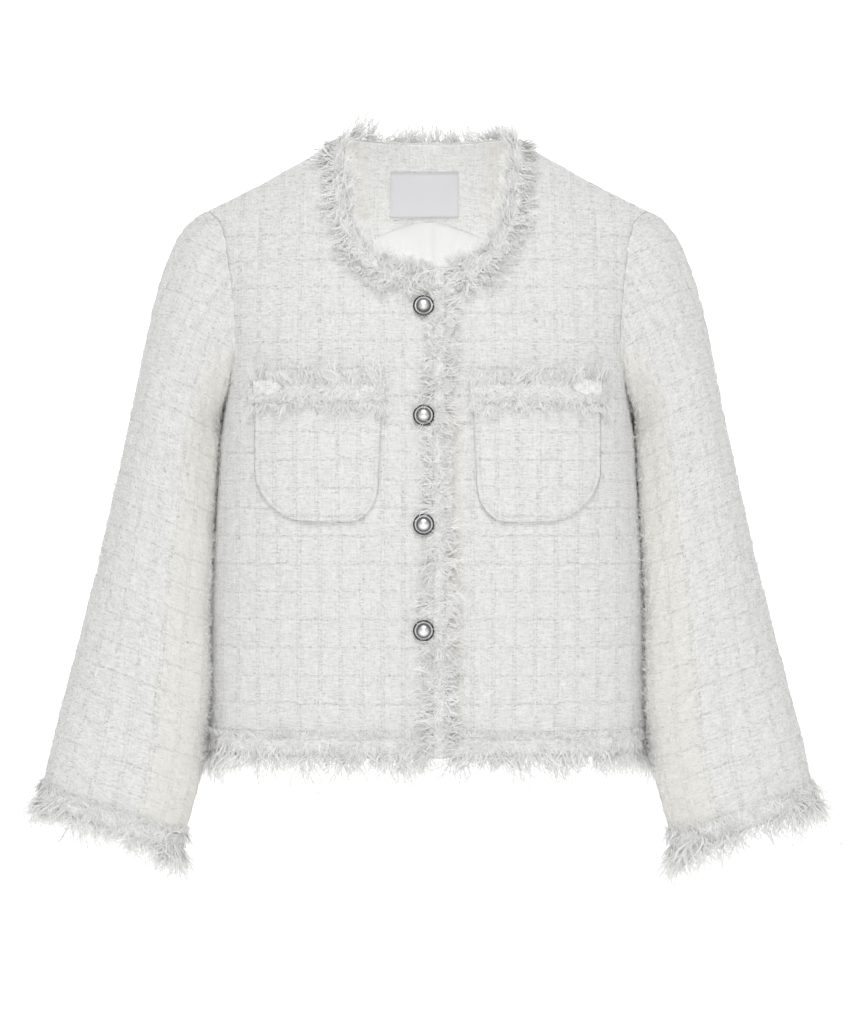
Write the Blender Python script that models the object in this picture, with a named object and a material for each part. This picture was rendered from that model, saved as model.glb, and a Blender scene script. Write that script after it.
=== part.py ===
"""A cropped, collarless tweed jacket with frayed trims, patch pockets and domed buttons.

Metres, +Z up. The jacket is filled out as it is when worn, hollow and open at the neck,
the hem and the cuffs. Its front faces -Y and the wearer's right is at -X. The origin is the
middle of the neck opening, about level with the neck ends of the shoulder seams.

Each cloth panel is a wall between two grids of points. The outer grid is read from one
surface, torso(), or from the rings of a sleeve, and the inner one lies a wall's thickness
behind it. What lies on a panel is made from the same points, moved out.
"""
import bpy
import bmesh
import math
import random
from collections import namedtuple
from mathutils import Vector

# Walls and clearances
TWEED = 0.0020            # thickness of the tweed
TRIM = 0.0012             # thickness of a woven trim
LINING = 0.0010           # thickness of the lining and the label
SEAM = 0.00018            # each piece ends this far short of a seam line
SLEEVE_SEAM = 0.0007      # and a sleeve starts this far from the armhole
LAID_ON = 0.0006          # clearance under a piece that lies on a panel
LAID_ON_CURVE = 0.0011    # the same round the neck, where the cloth bends
LAID_INSIDE = 0.0009      # clearance inside the back

# Body
HEM = -0.506
UNDERARM = -0.208
NECK_HALF = 0.0705        # half width of the neck opening at the shoulder seams
NECK_TOP = 0.0205         # height of the neck ends of the shoulder seams
NECK_FRONT = -0.1000      # height of the front neck at the centre
NECK_SQUARE = 2.8         # exponent of the front neckline's curve
TIP_HALF = 0.1900         # half breadth of the shoulders
SHOULDER_FALL = 0.60
SHOULDER_EASE = 0.50
NECK_CROWN = 0.045        # how far the body would rise above the neck ends, inside the neck
CLOSE_POWER = 1.6         # how the chest and the back round over to the shoulder seams
CLOSE_ROUND = 0.588
CLOSE_FROM = {-1: -0.240, 1: -0.140}    # height where that starts, at the front and the back

Section = namedtuple("Section", "z half front back square")
SECTIONS = (
    Section(z=-0.506, half=0.1890, front=0.1130, back=0.1000, square=2.70),
    Section(z=-0.488, half=0.1920, front=0.1132, back=0.0995, square=2.72),
    Section(z=-0.450, half=0.1920, front=0.1135, back=0.0985, square=2.75),
    Section(z=-0.380, half=0.1880, front=0.1150, back=0.0960, square=2.80),
    Section(z=-0.300, half=0.1818, front=0.1165, back=0.0945, square=2.80),
    Section(z=-0.240, half=0.1770, front=0.1170, back=0.0950, square=2.80),
    Section(z=-0.205, half=0.1738, front=0.1160, back=0.0960, square=2.80),
    Section(z=-0.150, half=0.1765, front=0.1140, back=0.0970, square=2.80),
    Section(z=-0.090, half=0.1880, front=0.1120, back=0.0960, square=2.80),
    Section(z=-0.040, half=0.2020, front=0.1100, back=0.0940, square=2.80),
    Section(z=0.070, half=0.2200, front=0.1060, back=0.0900, square=2.80),
)

# Half breadth between the armhole seams, from the underarm up to the shoulder tip
Armhole = namedtuple("Armhole", "way z front back")
ARMHOLE = (
    Armhole(way=0.173, z=-0.2000, front=0.1700, back=0.1712),
    Armhole(way=0.266, z=-0.1850, front=0.1655, back=0.1690),
    Armhole(way=0.359, z=-0.1650, front=0.1635, back=0.1685),
    Armhole(way=0.429, z=-0.1500, front=0.1635, back=0.1690),
    Armhole(way=0.577, z=-0.1200, front=0.1660, back=0.1715),
    Armhole(way=0.736, z=-0.0860, front=0.1705, back=0.1750),
    Armhole(way=0.891, z=-0.0560, front=0.1780, back=0.1805),
)

# Sleeve rings, down from the upper arm; outer is the way to the sleeve's outer edge
Ring = namedtuple("Ring", "x y z half depth tilt square")
SLEEVE = (
    Ring(x=0.2174, y=0.000, z=-0.2350, half=0.0396, depth=0.0590, tilt=9.0, square=2.5),
    Ring(x=0.2263, y=-0.012, z=-0.3000, half=0.0437, depth=0.0540, tilt=10.0, square=2.5),
    Ring(x=0.2351, y=-0.034, z=-0.3700, half=0.0487, depth=0.0465, tilt=11.0, square=2.4),
    Ring(x=0.2429, y=-0.050, z=-0.4400, half=0.0571, depth=0.0385, tilt=12.0, square=2.3),
    Ring(x=0.2523, y=-0.058, z=-0.5050, half=0.0638, depth=0.0310, tilt=14.5, square=2.4),
    Ring(x=0.2679, y=-0.060, z=-0.5674, half=0.0627, depth=0.0250, tilt=19.9, square=2.4),
)
CAP_START = 0.70          # strength of the sleeve cap's curve at the shoulder tip
CAP_END = 1.03            # and where it runs into the upper arm
CAP_OUT_TIP = 0.945       # how flat the sleeve leaves the shoulder tip
CAP_OUT_UNDER = 0.22      # and how flat it leaves the underarm
CAP_SWELL = 0.38          # how far it swells to the front and the back

# Front edge and lap
LAP_OVER = 0.0160         # the right front reaches this far past the centre
LAP_UNDER = 0.0200        # the left front reaches this far under it
LAP_SINK = 0.0030         # the left front lies this much lower there
LAP_FLAT = 0.0180         # where its sink starts to ease, past the centre
LAP_RISE = 0.0340         # where it is level with the right front

# Trims
NECK_TRIM = 0.0160        # widths of the woven strips
HEM_TRIM = 0.0170
CUFF_TRIM = 0.0160
NECK_TRIM_LEFT_START = 0.0185
HEM_START = 0.0185        # where the left front's hem trim starts, clear of the lap
PLACKET_TRIM_INNER = 0.0035
PLACKET_TRIM_OUTER = 0.0156
POCKET_TRIM_TOP = -0.1940
POCKET_TRIM_FOOT = -0.2165
POCKET_TRIM_INNER = 0.0350
POCKET_TRIM_OUTER = 0.1480
TAB_HEIGHT = -0.2005      # middle of the folded tab
TAB_HALF_HEIGHT = 0.0100
TAB_OUTER = 0.1425
TAB_SHOULDER = 0.1285
TAB_POINT = 0.1180

# Pockets
Corner = namedtuple("Corner", "side wide high")
POCKET_TOP = -0.1980
POCKET_FOOT = -0.3115
POCKET_INNER = 0.0370
POCKET_OUTER = 0.1430
POCKET_TAPER = 0.0045
POCKET_CORNERS = (
    Corner(side="inner", wide=0.024, high=0.030),
    Corner(side="outer", wide=0.048, high=0.046),
)

# Inside the back neck
FACING = 0.0015           # thickness of the facing
FACING_FOOT = -0.0456
FACING_DROP = 0.042
FACING_BEND = 0.070       # distance from the centre where half of that drop is reached
FACING_CLEAR = 0.0004
LINING_FOOT = -0.486
PLEAT = 0.0030
LABEL_HALF_WIDTH = 0.031
LABEL_MIDDLE = -0.0028
LABEL_TOP = -0.0024
LABEL_FOOT = -0.0415

# Buttons
BUTTON_RADIUS = 0.0088
BUTTON_BACK = 0.0024      # height of the button's back above the cloth
DOME_RADIUS = 0.0066
DOME_HEIGHT = 0.0034
SHANK_RADIUS = 0.0022
SHANK_FOOT = 0.0006
BUTTON_SIDES = 12
BUTTON_X = -0.0032
BUTTON_HEIGHTS = (-0.1330, -0.2240, -0.3135, -0.4010)

# Grid sizes
LOWER_ROWS = 7            # hem to underarm
UPPER_ROWS = 12           # underarm to shoulder
NECK_COLUMNS = 8
SHOULDER_COLUMNS = 5
ARMHOLE_REACH = 3         # the higher, the less the armhole's curve bends the rows beside it
CAP_ROWS = 6
SLEEVE_ROWS = 8
NECK_TEETH = 12           # frayed locks along each strip
BACK_NECK_TEETH = 7
PLACKET_TEETH = 20
HEM_TEETH = 15
POCKET_TEETH = 9
POCKET_ROWS = 7
POCKET_COLUMNS = 7
FACING_ROW = 8            # first row of the back, above the underarm, that the facing shares
LINING_ROWS = (1, 3, 5, 7, 8, 9, 10, 11, 12)   # rows of the back that the lining shares

random.seed(11)


# ---------------------------------------------------------------- small tools

def clear_scene():
    """Start from an empty scene."""
    for thing in list(bpy.data.objects):
        bpy.data.objects.remove(thing, do_unlink=True)


def mix(low, high, share):
    """Straight blend of two numbers or points."""
    return low + (high - low) * share


def clamp(value, low=0.0, high=1.0):
    """Keep a value between two limits."""
    return max(low, min(high, value))


def ease(value):
    """Smooth step from 0 to 1."""
    value = clamp(value)
    return value * value * (3.0 - 2.0 * value)


def follow(rows, key, column, at):
    """Read one column of a table at a key, along a smooth curve through its rows."""
    keys = [getattr(row, key) for row in rows]
    values = [getattr(row, column) for row in rows]
    if keys[0] > keys[-1]:
        keys.reverse()
        values.reverse()
    at = clamp(at, keys[0], keys[-1])
    last = len(keys) - 1
    slot = next((i for i in range(last) if at <= keys[i + 1]), last - 1)

    def slope(i):
        low, high = max(i - 1, 0), min(i + 1, last)
        return (values[high] - values[low]) / (keys[high] - keys[low])

    span = keys[slot + 1] - keys[slot]
    s = (at - keys[slot]) / span
    hold = (1 + 2 * s) * (1 - s) ** 2 * values[slot]
    leave = s * (1 - s) ** 2 * span * slope(slot)
    reach = s * s * (3 - 2 * s) * values[slot + 1]
    arrive = s * s * (s - 1) * span * slope(slot + 1)
    return hold + leave + reach + arrive


def material(name, colour, roughness, metallic=0.0):
    """A plain finish with a colour, a roughness and a metallic value."""
    found = bpy.data.materials.get(name)
    if found:
        return found
    made = bpy.data.materials.new(name)
    made.use_nodes = True
    shader = made.node_tree.nodes["Principled BSDF"]
    shader.inputs["Base Color"].default_value = (*colour, 1.0)
    shader.inputs["Roughness"].default_value = roughness
    shader.inputs["Metallic"].default_value = metallic
    return made


def tweed():
    """White boucle tweed."""
    return material("tweed", (0.80, 0.80, 0.78), 0.95)


def trim_cloth():
    """Woven trim with frayed edges."""
    return material("trim", (0.74, 0.74, 0.72), 0.95)


def satin():
    """Smooth lining cloth."""
    return material("lining", (0.88, 0.88, 0.87), 0.45)


def label_cloth():
    """Woven satin label."""
    return material("label", (0.62, 0.63, 0.66), 0.5)


def button_metal():
    """Bright button metal."""
    return material("button_metal", (0.60, 0.60, 0.61), 0.25, 1.0)


def new_object(name, mesh_builder, finish, smooth=True):
    """Turn a bmesh into a named object with one finish."""
    bmesh.ops.recalc_face_normals(mesh_builder, faces=mesh_builder.faces)
    mesh = bpy.data.meshes.new(name)
    mesh_builder.to_mesh(mesh)
    mesh_builder.free()
    thing = bpy.data.objects.new(name, mesh)
    bpy.context.scene.collection.objects.link(thing)
    mesh.materials.append(finish)
    if smooth:
        mesh.shade_smooth()
        mesh.set_sharp_from_angle(angle=math.radians(40))
    return thing


# ---------------------------------------------------------------- body surface

def even_turn(share, power, balance=1.0):
    """Angle of a superellipse, 0 at share 1 and a right angle at share 0, evenly spaced."""
    near = (1.0 - share) ** (power / 2.0)
    far = balance * share ** (power / 2.0)
    return 0.5 * math.pi * near / (near + far)


def even_share(turn, power, balance=1.0):
    """The share at which even_turn() gives an angle."""
    if turn >= 0.5 * math.pi:
        return 0.0
    part = turn / (0.5 * math.pi)
    return 1.0 / (1.0 + (balance * part / (1.0 - part)) ** (2.0 / power))


def shoulder_height(x):
    """Height of the shoulder line at a distance from the centre, domed inside the neck."""
    if abs(x) >= NECK_HALF:
        run = abs(x) - NECK_HALF
        return NECK_TOP - SHOULDER_FALL * run + SHOULDER_EASE * run * run
    u = x / NECK_HALF
    bend = 0.5 * SHOULDER_FALL * NECK_HALF - NECK_CROWN
    return NECK_TOP + (NECK_CROWN - bend) * (1.0 - u * u) + bend * (1.0 - u ** 4)


def closing(x, z, face):
    """How much of its depth the front or the back still has at a height."""
    start = CLOSE_FROM[face]
    climb = clamp((z - start) / (shoulder_height(x) - start))
    return (1.0 - climb ** CLOSE_POWER) ** CLOSE_ROUND


def warp(z):
    """Exponent and balance that space a section's points evenly."""
    half = follow(SECTIONS, "z", "half", z)
    depth = 0.5 * (follow(SECTIONS, "z", "front", z) + follow(SECTIONS, "z", "back", z))
    square = follow(SECTIONS, "z", "square", z)
    return half, square, (depth / half) ** (square / 4.0)


def torso(side, share, z, face):
    """Point of the outer cloth. Share is 0 at the centre line and 1 at the side seam."""
    half, square, balance = warp(z)
    depth = follow(SECTIONS, "z", "front" if face < 0 else "back", z)
    turn = even_turn(clamp(abs(share)), square, balance)
    x = math.copysign(half * math.cos(turn) ** (2.0 / square), share)
    y = depth * math.sin(turn) ** (2.0 / square) * closing(x, z, face)
    return Vector((side * x, face * y, z))


def share_of(x, z):
    """The share at which torso() reaches a distance x from the centre."""
    half, square, balance = warp(z)
    turn = math.acos(clamp(abs(x) / half) ** (square / 2.0))
    return math.copysign(even_share(turn, square, balance), x)


def torso_normal(side, share, z, face):
    """Direction out of the cloth at a point of the body."""
    step, drop = 0.004, 0.001
    across = torso(side, min(share + step, 1.0), z, face) - torso(side, share - step, z, face)
    up = torso(side, share, z, face) - torso(side, share, z - drop, face)
    return (across.cross(up) * (side * -face)).normalized()


def neck_point(way, out=0.0):
    """x and z of the front neckline, from the centre (0) to the shoulder seam (1).

    Out moves the whole curve away from the neck opening, along the shoulder line at its end.
    """
    width = NECK_HALF + out * 0.87
    top = shoulder_height(width)
    turn = even_turn(way, NECK_SQUARE)
    x = width * math.cos(turn) ** (2.0 / NECK_SQUARE)
    z = top - (top - NECK_FRONT + out) * math.sin(turn) ** (2.0 / NECK_SQUARE)
    return x, z


def back_neck_point(way, out=0.0):
    """x and z of the back neckline, from the centre (0) to the shoulder seam (1)."""
    width = NECK_HALF + out * 0.87
    top = shoulder_height(width)
    return width * way, mix(NECK_TOP - out * 0.8, top, way ** 3)


def neckline_way(x):
    """How far along the front neckline a distance from the centre lies."""
    turn = math.acos(clamp(abs(x) / NECK_HALF) ** (NECK_SQUARE / 2.0))
    return math.copysign(even_share(turn, NECK_SQUARE), x)


def armhole(way, face):
    """Share and height of the armhole seam, from the underarm (0) to the shoulder tip (1)."""
    column = "front" if face < 0 else "back"
    tip = shoulder_height(TIP_HALF)
    Point = namedtuple("Point", "way z share")
    rows = [Point(0.0, UNDERARM, 1.0)]
    rows += [Point(r.way, r.z, share_of(getattr(r, column), r.z)) for r in ARMHOLE]
    rows.append(Point(1.0, tip, share_of(TIP_HALF, tip)))
    return follow(rows, "way", "share", way), follow(rows, "way", "z", way)


# ---------------------------------------------------------------- panel grids

def upper_ways():
    """Heights of the rows between the underarm and the shoulder, closer near the top."""
    steps = [k / UPPER_ROWS for k in range(UPPER_ROWS + 1)]
    return [0.35 * s + 0.65 * math.sin(0.5 * math.pi * s) for s in steps]


def panel_grid(side, face, edge_x):
    """Rows from hem to shoulder, columns from the centre edge to the side, of (share, z).

    edge_x is where the centre edge lies, less than 0 where it reaches past the centre.
    """
    columns = NECK_COLUMNS + SHOULDER_COLUMNS
    corner = NECK_COLUMNS / columns
    rows = []
    for row in range(LOWER_ROWS):
        z = mix(HEM, UNDERARM, row / LOWER_ROWS)
        start = share_of(edge_x, z)
        rows.append([(mix(start, 1.0, c / columns), z) for c in range(columns + 1)])

    def top(c):
        if c <= corner:
            if face < 0:
                way = mix(neckline_way(edge_x), 1.0, c / corner)
                x, z = neck_point(abs(way))
                x = math.copysign(x, way)
            else:
                x, z = back_neck_point(mix(edge_x / NECK_HALF, 1.0, c / corner))
        else:
            x = mix(NECK_HALF, TIP_HALF, (c - corner) / (1.0 - corner))
            z = shoulder_height(x)
        return Vector((share_of(x, z), z))

    def bottom(c):
        return Vector((mix(share_of(edge_x, UNDERARM), 1.0, c), UNDERARM))

    def right(way):
        return Vector(armhole(way, face))

    def left(way):
        z = mix(UNDERARM, top(0.0).y, way)
        return Vector((share_of(edge_x, z), z))

    for way in upper_ways():
        row = []
        for k in range(columns + 1):
            c = k / columns
            place = bottom(c).lerp(top(c), way)
            place += (left(way) - bottom(0.0).lerp(top(0.0), way)) * (1.0 - c)
            place += (right(way) - bottom(1.0).lerp(top(1.0), way)) * c ** ARMHOLE_REACH
            row.append(tuple(place))
        rows.append(row)
    return rows


def grid_points(side, face, cells, sink=None):
    """Points of a panel's outer face, with an optional shift inward."""
    points = []
    for row in cells:
        line = [torso(side, share, z, face) for share, z in row]
        if sink:
            line = [p + Vector((0.0, -face * sink(side * p.x), 0.0)) for p in line]
        points.append(line)
    return points


def grid_normals(points, sign, wrap=False):
    """Directions out of a grid, from each point's neighbours."""
    rows, columns = len(points), len(points[0])
    normals = []
    for r in range(rows):
        line = []
        for c in range(columns):
            if wrap:
                before, after = points[r][c - 1], points[r][(c + 1) % columns]
            else:
                before, after = points[r][max(c - 1, 0)], points[r][min(c + 1, columns - 1)]
            below, above = points[max(r - 1, 0)][c], points[min(r + 1, rows - 1)][c]
            line.append(((after - before).cross(above - below) * sign).normalized())
        normals.append(line)
    return normals


def draw_back(points, column):
    """Stop a grid's side edge a little short of its seam line."""
    inward = 1 if column == 0 else -1
    for line in points:
        line[column] += (line[column + inward] - line[column]).normalized() * SEAM


def inset(points, normals, depth):
    """The same grid, moved in by a depth."""
    return [[p - n * depth for p, n in zip(line, ns)] for line, ns in zip(points, normals)]


def shoulder_normal(side):
    """Direction out of the cloth along a shoulder seam."""
    return Vector((side * SHOULDER_FALL, 0.0, 1.0)).normalized()


# ---------------------------------------------------------------- solids

def slab(name, outer, inner, finish, wrap=False, teeth=()):
    """One closed body between two grids, with frayed teeth on some of its edges.

    A tooth is (row, column, tip): row is the first or the last, and the tooth grows from the
    edge between the column and the next, to a tip point.
    """
    built = bmesh.new()
    out = [[built.verts.new(p) for p in line] for line in outer]
    into = [[built.verts.new(p) for p in line] for line in inner]
    rows, columns = len(outer), len(outer[0])
    spans = columns if wrap else columns - 1
    for r in range(rows - 1):
        for c in range(spans):
            d = (c + 1) % columns
            built.faces.new((out[r][c], out[r][d], out[r + 1][d], out[r + 1][c]))
            built.faces.new((into[r][c], into[r + 1][c], into[r + 1][d], into[r][d]))
    if not wrap:
        for c in (0, columns - 1):
            for r in range(rows - 1):
                built.faces.new((out[r][c], out[r + 1][c], into[r + 1][c], into[r][c]))
    tips = {(tooth[0] % rows, tooth[1]): tooth[2] for tooth in teeth}
    for r in (0, rows - 1):
        for c in range(spans):
            d = (c + 1) % columns
            base = (out[r][c], out[r][d], into[r][d], into[r][c])
            if (r, c) in tips:
                grow_tooth(built, base, tips[(r, c)])
            else:
                built.faces.new(base)
    return new_object(name, built, finish)


def grow_tooth(built, base, tip):
    """A tapered lock of frayed yarn on four corners of a strip's edge."""
    middle = sum((v.co for v in base), Vector()) / 4.0
    ends = [built.verts.new(tip + (v.co - middle) * 0.30) for v in base]
    for k in range(4):
        n = (k + 1) % 4
        built.faces.new((base[k], base[n], ends[n], ends[k]))
    built.faces.new(ends)


def frayed(points, normals, row, length, lift=0.0, skip=(), spread=0.25):
    """Teeth along one edge of a strip, uneven in length and lean."""
    rows, columns = len(points), len(points[0])
    edge = row % rows
    inner_row = edge + 1 if edge == 0 else edge - 1
    teeth = []
    for c in range(columns - 1):
        size = length * random.uniform(0.72, 1.12)
        lean = random.uniform(-spread, spread)
        rise = random.uniform(0.0, 1.0) * lift
        if c in skip:
            continue
        here = (points[edge][c] + points[edge][c + 1]) * 0.5
        there = (points[inner_row][c] + points[inner_row][c + 1]) * 0.5
        along = points[edge][c + 1] - points[edge][c]
        normal = (normals[edge][c] + normals[edge][c + 1]).normalized()
        away = (here - there).normalized()
        teeth.append((edge, c, here + away * size + along * lean + normal * rise - normal * TRIM * 0.5))
    return teeth


# ---------------------------------------------------------------- fronts, back, sleeves

def lap_sink(x):
    """How far the left front lies below the right one near the centre."""
    return LAP_SINK * (1.0 - ease((x - LAP_FLAT) / (LAP_RISE - LAP_FLAT)))


def panel(name, side, face, edge_x, sink=None):
    """One front panel: a wall from hem to shoulder, with its seams."""
    points = grid_points(side, face, panel_grid(side, face, edge_x), sink)
    normals = grid_normals(points, -side * face)
    finish_seams(side, points, normals, NECK_COLUMNS)
    slab(name, points, inset(points, normals, TWEED), tweed())


def finish_seams(side, points, normals, corner):
    """Shared wall directions and the small gaps at the side, shoulder and armhole seams."""
    for r in range(LOWER_ROWS + 1):
        normals[r][-1] = Vector((side, 0.0, 0.0))
    top = points[-1]
    for c in range(corner, len(top)):
        normals[-1][c] = shoulder_normal(side)
        top[c] = top[c] + (points[-2][c] - top[c]).normalized() * SEAM
    draw_back(points, -1)


def build_fronts():
    """The right front laps over, and the left one lies lower under it."""
    panel("front_right", -1, -1, -LAP_OVER)
    panel("front_left", 1, -1, -LAP_UNDER, lap_sink)


def build_back():
    """The back in one piece, from the right side seam to the left one."""
    cells = panel_grid(1, 1, 0.0)
    left = grid_points(1, 1, cells)
    right = grid_points(-1, 1, cells)
    points = [list(reversed(b[1:])) + a for a, b in zip(left, right)]
    normals = grid_normals(points, -1.0)
    half = len(cells[0]) - 1
    for r in range(LOWER_ROWS + 1):
        normals[r][0], normals[r][-1] = Vector((-1, 0, 0)), Vector((1, 0, 0))
    for c in range(SHOULDER_COLUMNS + 1):
        for k, side in ((c, -1), (2 * half - c, 1)):
            normals[-1][k] = shoulder_normal(side)
            points[-1][k] += (points[-2][k] - points[-1][k]).normalized() * SEAM
    draw_back(points, 0)
    draw_back(points, -1)
    slab("back", points, inset(points, normals, TWEED), tweed())
    return points, normals


def armhole_loop(side):
    """Points, cloth normals and outward directions round the armhole, from the tip forward."""
    ways = upper_ways()
    loop = [(way, -1) for way in reversed(ways)] + [(way, 1) for way in ways[1:-1]]
    places = []
    for way, face in loop:
        share, z = armhole(way, face)
        point = torso(side, share, z, face)
        if way == 0.0:
            normal = Vector((side, 0.0, 0.0))
        elif way == 1.0:
            normal = shoulder_normal(side)
        else:
            normal = torso_normal(side, share, z, face)
        places.append((point, normal))
    return places


def sleeve_ring(side, z, turn, out=0.0):
    """Point of the sleeve round its ring at a height; turn 0 is the outer edge, 90 the front."""
    x = follow(SLEEVE, "z", "x", z)
    y = follow(SLEEVE, "z", "y", z)
    half = follow(SLEEVE, "z", "half", z) + out
    depth = follow(SLEEVE, "z", "depth", z) + out
    tilt = math.radians(follow(SLEEVE, "z", "tilt", z))
    square = follow(SLEEVE, "z", "square", z)
    c, s = math.cos(turn), math.sin(turn)
    wide = math.copysign(abs(c) ** (2.0 / square), c) * half
    deep = math.copysign(abs(s) ** (2.0 / square), s) * depth
    return Vector((side * (x + wide * math.cos(tilt)), y - deep, z + wide * math.sin(tilt)))


def seam_way(side, turn):
    """Direction out of the body panels' edge, round the armhole."""
    outward = 0.5 + 0.5 * math.cos(turn)
    return Vector((side * mix(0.25, 0.87, outward), 0.0, mix(0.97, -0.5, outward))).normalized()


def sleeve_cap(side, s, start, normal, turn):
    """Point between the armhole seam (s 0) and the upper arm (s 1), on a smooth curve."""
    top, step = SLEEVE[0].z, 0.01
    outward = 0.5 + 0.5 * math.cos(turn)
    end = sleeve_ring(side, top, turn)
    run_in = (sleeve_ring(side, top - step, turn) - end).normalized()
    out = mix(CAP_OUT_UNDER, CAP_OUT_TIP, outward)
    leave = Vector((side * out, -CAP_SWELL * math.sin(turn), -math.sqrt(1.0 - out * out)))
    reach = (end - start).length
    begin = start + (normal + seam_way(side, turn)).normalized() * SLEEVE_SEAM
    point = begin * (1 + 2 * s) * (1 - s) ** 2 + end * s * s * (3 - 2 * s)
    point += leave.normalized() * reach * mix(1.0, CAP_START, outward) * s * (1 - s) ** 2
    point += run_in * reach * CAP_END * s * s * (s - 1)
    return point


def sleeve_points(side):
    """Rows of a sleeve from the armhole to the cuff, each going round from the tip forward."""
    places = armhole_loop(side)
    turns = [2.0 * math.pi * k / len(places) for k in range(len(places))]
    rows = []
    for r in range(CAP_ROWS + 1):
        s = (r / CAP_ROWS) ** 1.25
        rows.append([sleeve_cap(side, s, *place, turn) for place, turn in zip(places, turns)])
    for r in range(1, SLEEVE_ROWS + 1):
        z = mix(SLEEVE[0].z, SLEEVE[-1].z, r / SLEEVE_ROWS)
        rows.append([sleeve_ring(side, z, turn) for turn in turns])
    return rows


def build_sleeve(name, side):
    """A sleeve: one tube from the armhole to the cuff."""
    rows = sleeve_points(side)
    normals = grid_normals(rows, side, wrap=True)
    return slab(name, rows, inset(rows, normals, TWEED), tweed(), wrap=True)


# ---------------------------------------------------------------- trims

def strip(name, points, normals, teeth, lift=LAID_ON):
    """A woven trim that lies on the cloth at the given points."""
    inner = inset(points, normals, -lift)
    return slab(name, raised(points, normals, lift), inner, trim_cloth(), teeth=teeth)


def raised(points, normals, lift=LAID_ON):
    """Points of a trim's outer side, where its teeth grow."""
    return inset(points, normals, -lift - TRIM)


def panel_place(side, x, z, face, sink=None):
    """Point and direction of the cloth at x and z."""
    share = share_of(x, z)
    point = torso(side, share, z, face)
    if sink:
        point.y -= face * sink(x)
    return point, torso_normal(side, share, z, face)


def split(places):
    """Points and directions of a grid of places, apart."""
    return [[p for p, n in row] for row in places], [[n for p, n in row] for row in places]


def build_neck_trim_front(name, side, start_x, sink=None):
    """Frayed trim along one front's half of the neckline, up to the shoulder seam."""
    spans = 2 * NECK_TEETH
    first = neckline_way(start_x)
    ways = [mix(first, 0.995, k / spans) for k in range(spans + 1)]
    rows = []
    for across in (0.0, 0.5, 1.0):
        line = [neck_point(way, across * NECK_TRIM) for way in ways]
        rows.append([panel_place(side, x, z, -1, sink) for x, z in line])
    points, normals = split(rows)
    top = raised(points, normals, LAID_ON_CURVE)
    teeth = frayed(top, normals, 0, 0.009, skip=range(1, spans, 2))
    teeth += frayed(top, normals, 2, 0.006, lift=0.002, skip=range(0, spans, 2))
    strip(name, points, normals, teeth, LAID_ON_CURVE)


def build_neck_trim_back():
    """Frayed trim along the back neckline, with a fringe that stands up."""
    rows = []
    for across in (0.0, 0.5, 1.0):
        line = []
        for k in range(-BACK_NECK_TEETH, BACK_NECK_TEETH + 1):
            way = 0.995 * k / BACK_NECK_TEETH
            x, z = back_neck_point(abs(way), across * NECK_TRIM)
            line.append(panel_place(math.copysign(1, way), x, z, 1))
        rows.append(line)
    points, normals = split(rows)
    top = raised(points, normals, LAID_ON_CURVE)
    teeth = frayed(top, normals, 0, 0.013) + frayed(top, normals, 2, 0.006, lift=0.002)
    strip("neck_trim_back", points, normals, teeth, LAID_ON_CURVE)


def build_placket_trim():
    """Frayed trim down the edge of the right front; the buttons stand beside it."""
    low, high = HEM - 0.0008, neck_point(0.0)[1] + 0.0004
    heights = [mix(low, high, k / PLACKET_TEETH) for k in range(PLACKET_TEETH + 1)]
    rows = []
    for x in (PLACKET_TRIM_INNER, PLACKET_TRIM_OUTER):
        rows.append([panel_place(-1, -x, z, -1) for z in heights])
    points, normals = split(rows)
    top = raised(points, normals)
    bare = set()
    for k, middle in enumerate(0.5 * (a + b) for a, b in zip(heights, heights[1:])):
        near_button = any(abs(middle - height) < 0.017 for height in BUTTON_HEIGHTS)
        if near_button or middle < HEM + HEM_TRIM + 0.008 or middle > high - NECK_TRIM - 0.016:
            bare.add(k)
    teeth = frayed(top, normals, 0, 0.008, lift=0.001, skip=bare)
    teeth += frayed(top, normals, 1, 0.009, lift=0.002)
    strip("placket_trim", points, normals, teeth)


def hem_places(side, face, shares):
    """Rows of places along the hem, from its edge up, at the given shares."""
    rows = []
    for across in (0.0, 1.0):
        z = mix(HEM - 0.0008, HEM + HEM_TRIM, across)
        row = []
        for share in shares:
            at = side if share >= 0 else -side
            row.append((torso(at, abs(share), z, face), torso_normal(at, abs(share), z, face)))
        rows.append(row)
    return rows


def build_hem_trim(name, side, face, first, last, count, sink=None):
    """Frayed trim along a panel's hem, with a long fringe that hangs below it."""
    shares = [mix(first, last, k / count) for k in range(count + 1)]
    points, normals = split(hem_places(side, face, shares))
    if sink:
        for row in points:
            for p in row:
                p.y -= face * sink(side * p.x)
    top = raised(points, normals)
    strip(name, points, normals, frayed(top, normals, 0, 0.0215, lift=0.005))


def build_cuff_trim(name, side):
    """Frayed trim round a cuff, with a fringe that splays."""
    count = 2 * UPPER_ROWS
    turns = [2.0 * math.pi * k / count for k in range(count)]
    foot = SLEEVE[-1].z
    outs = []
    for out in (LAID_ON, LAID_ON + TRIM):
        outs.append([[sleeve_ring(side, z, turn, out) for turn in turns]
                     for z in (foot - 0.0008, foot + CUFF_TRIM)])
    inner, outer = outs
    normals = grid_normals(list(reversed(outer)), side, wrap=True)
    normals.reverse()
    closed = [row + row[:1] for row in outer]
    teeth = frayed(closed, [row + row[:1] for row in normals], 0, 0.021, lift=0.018)
    slab(name, outer, inner, trim_cloth(), wrap=True, teeth=teeth)


# ---------------------------------------------------------------- pockets

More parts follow.
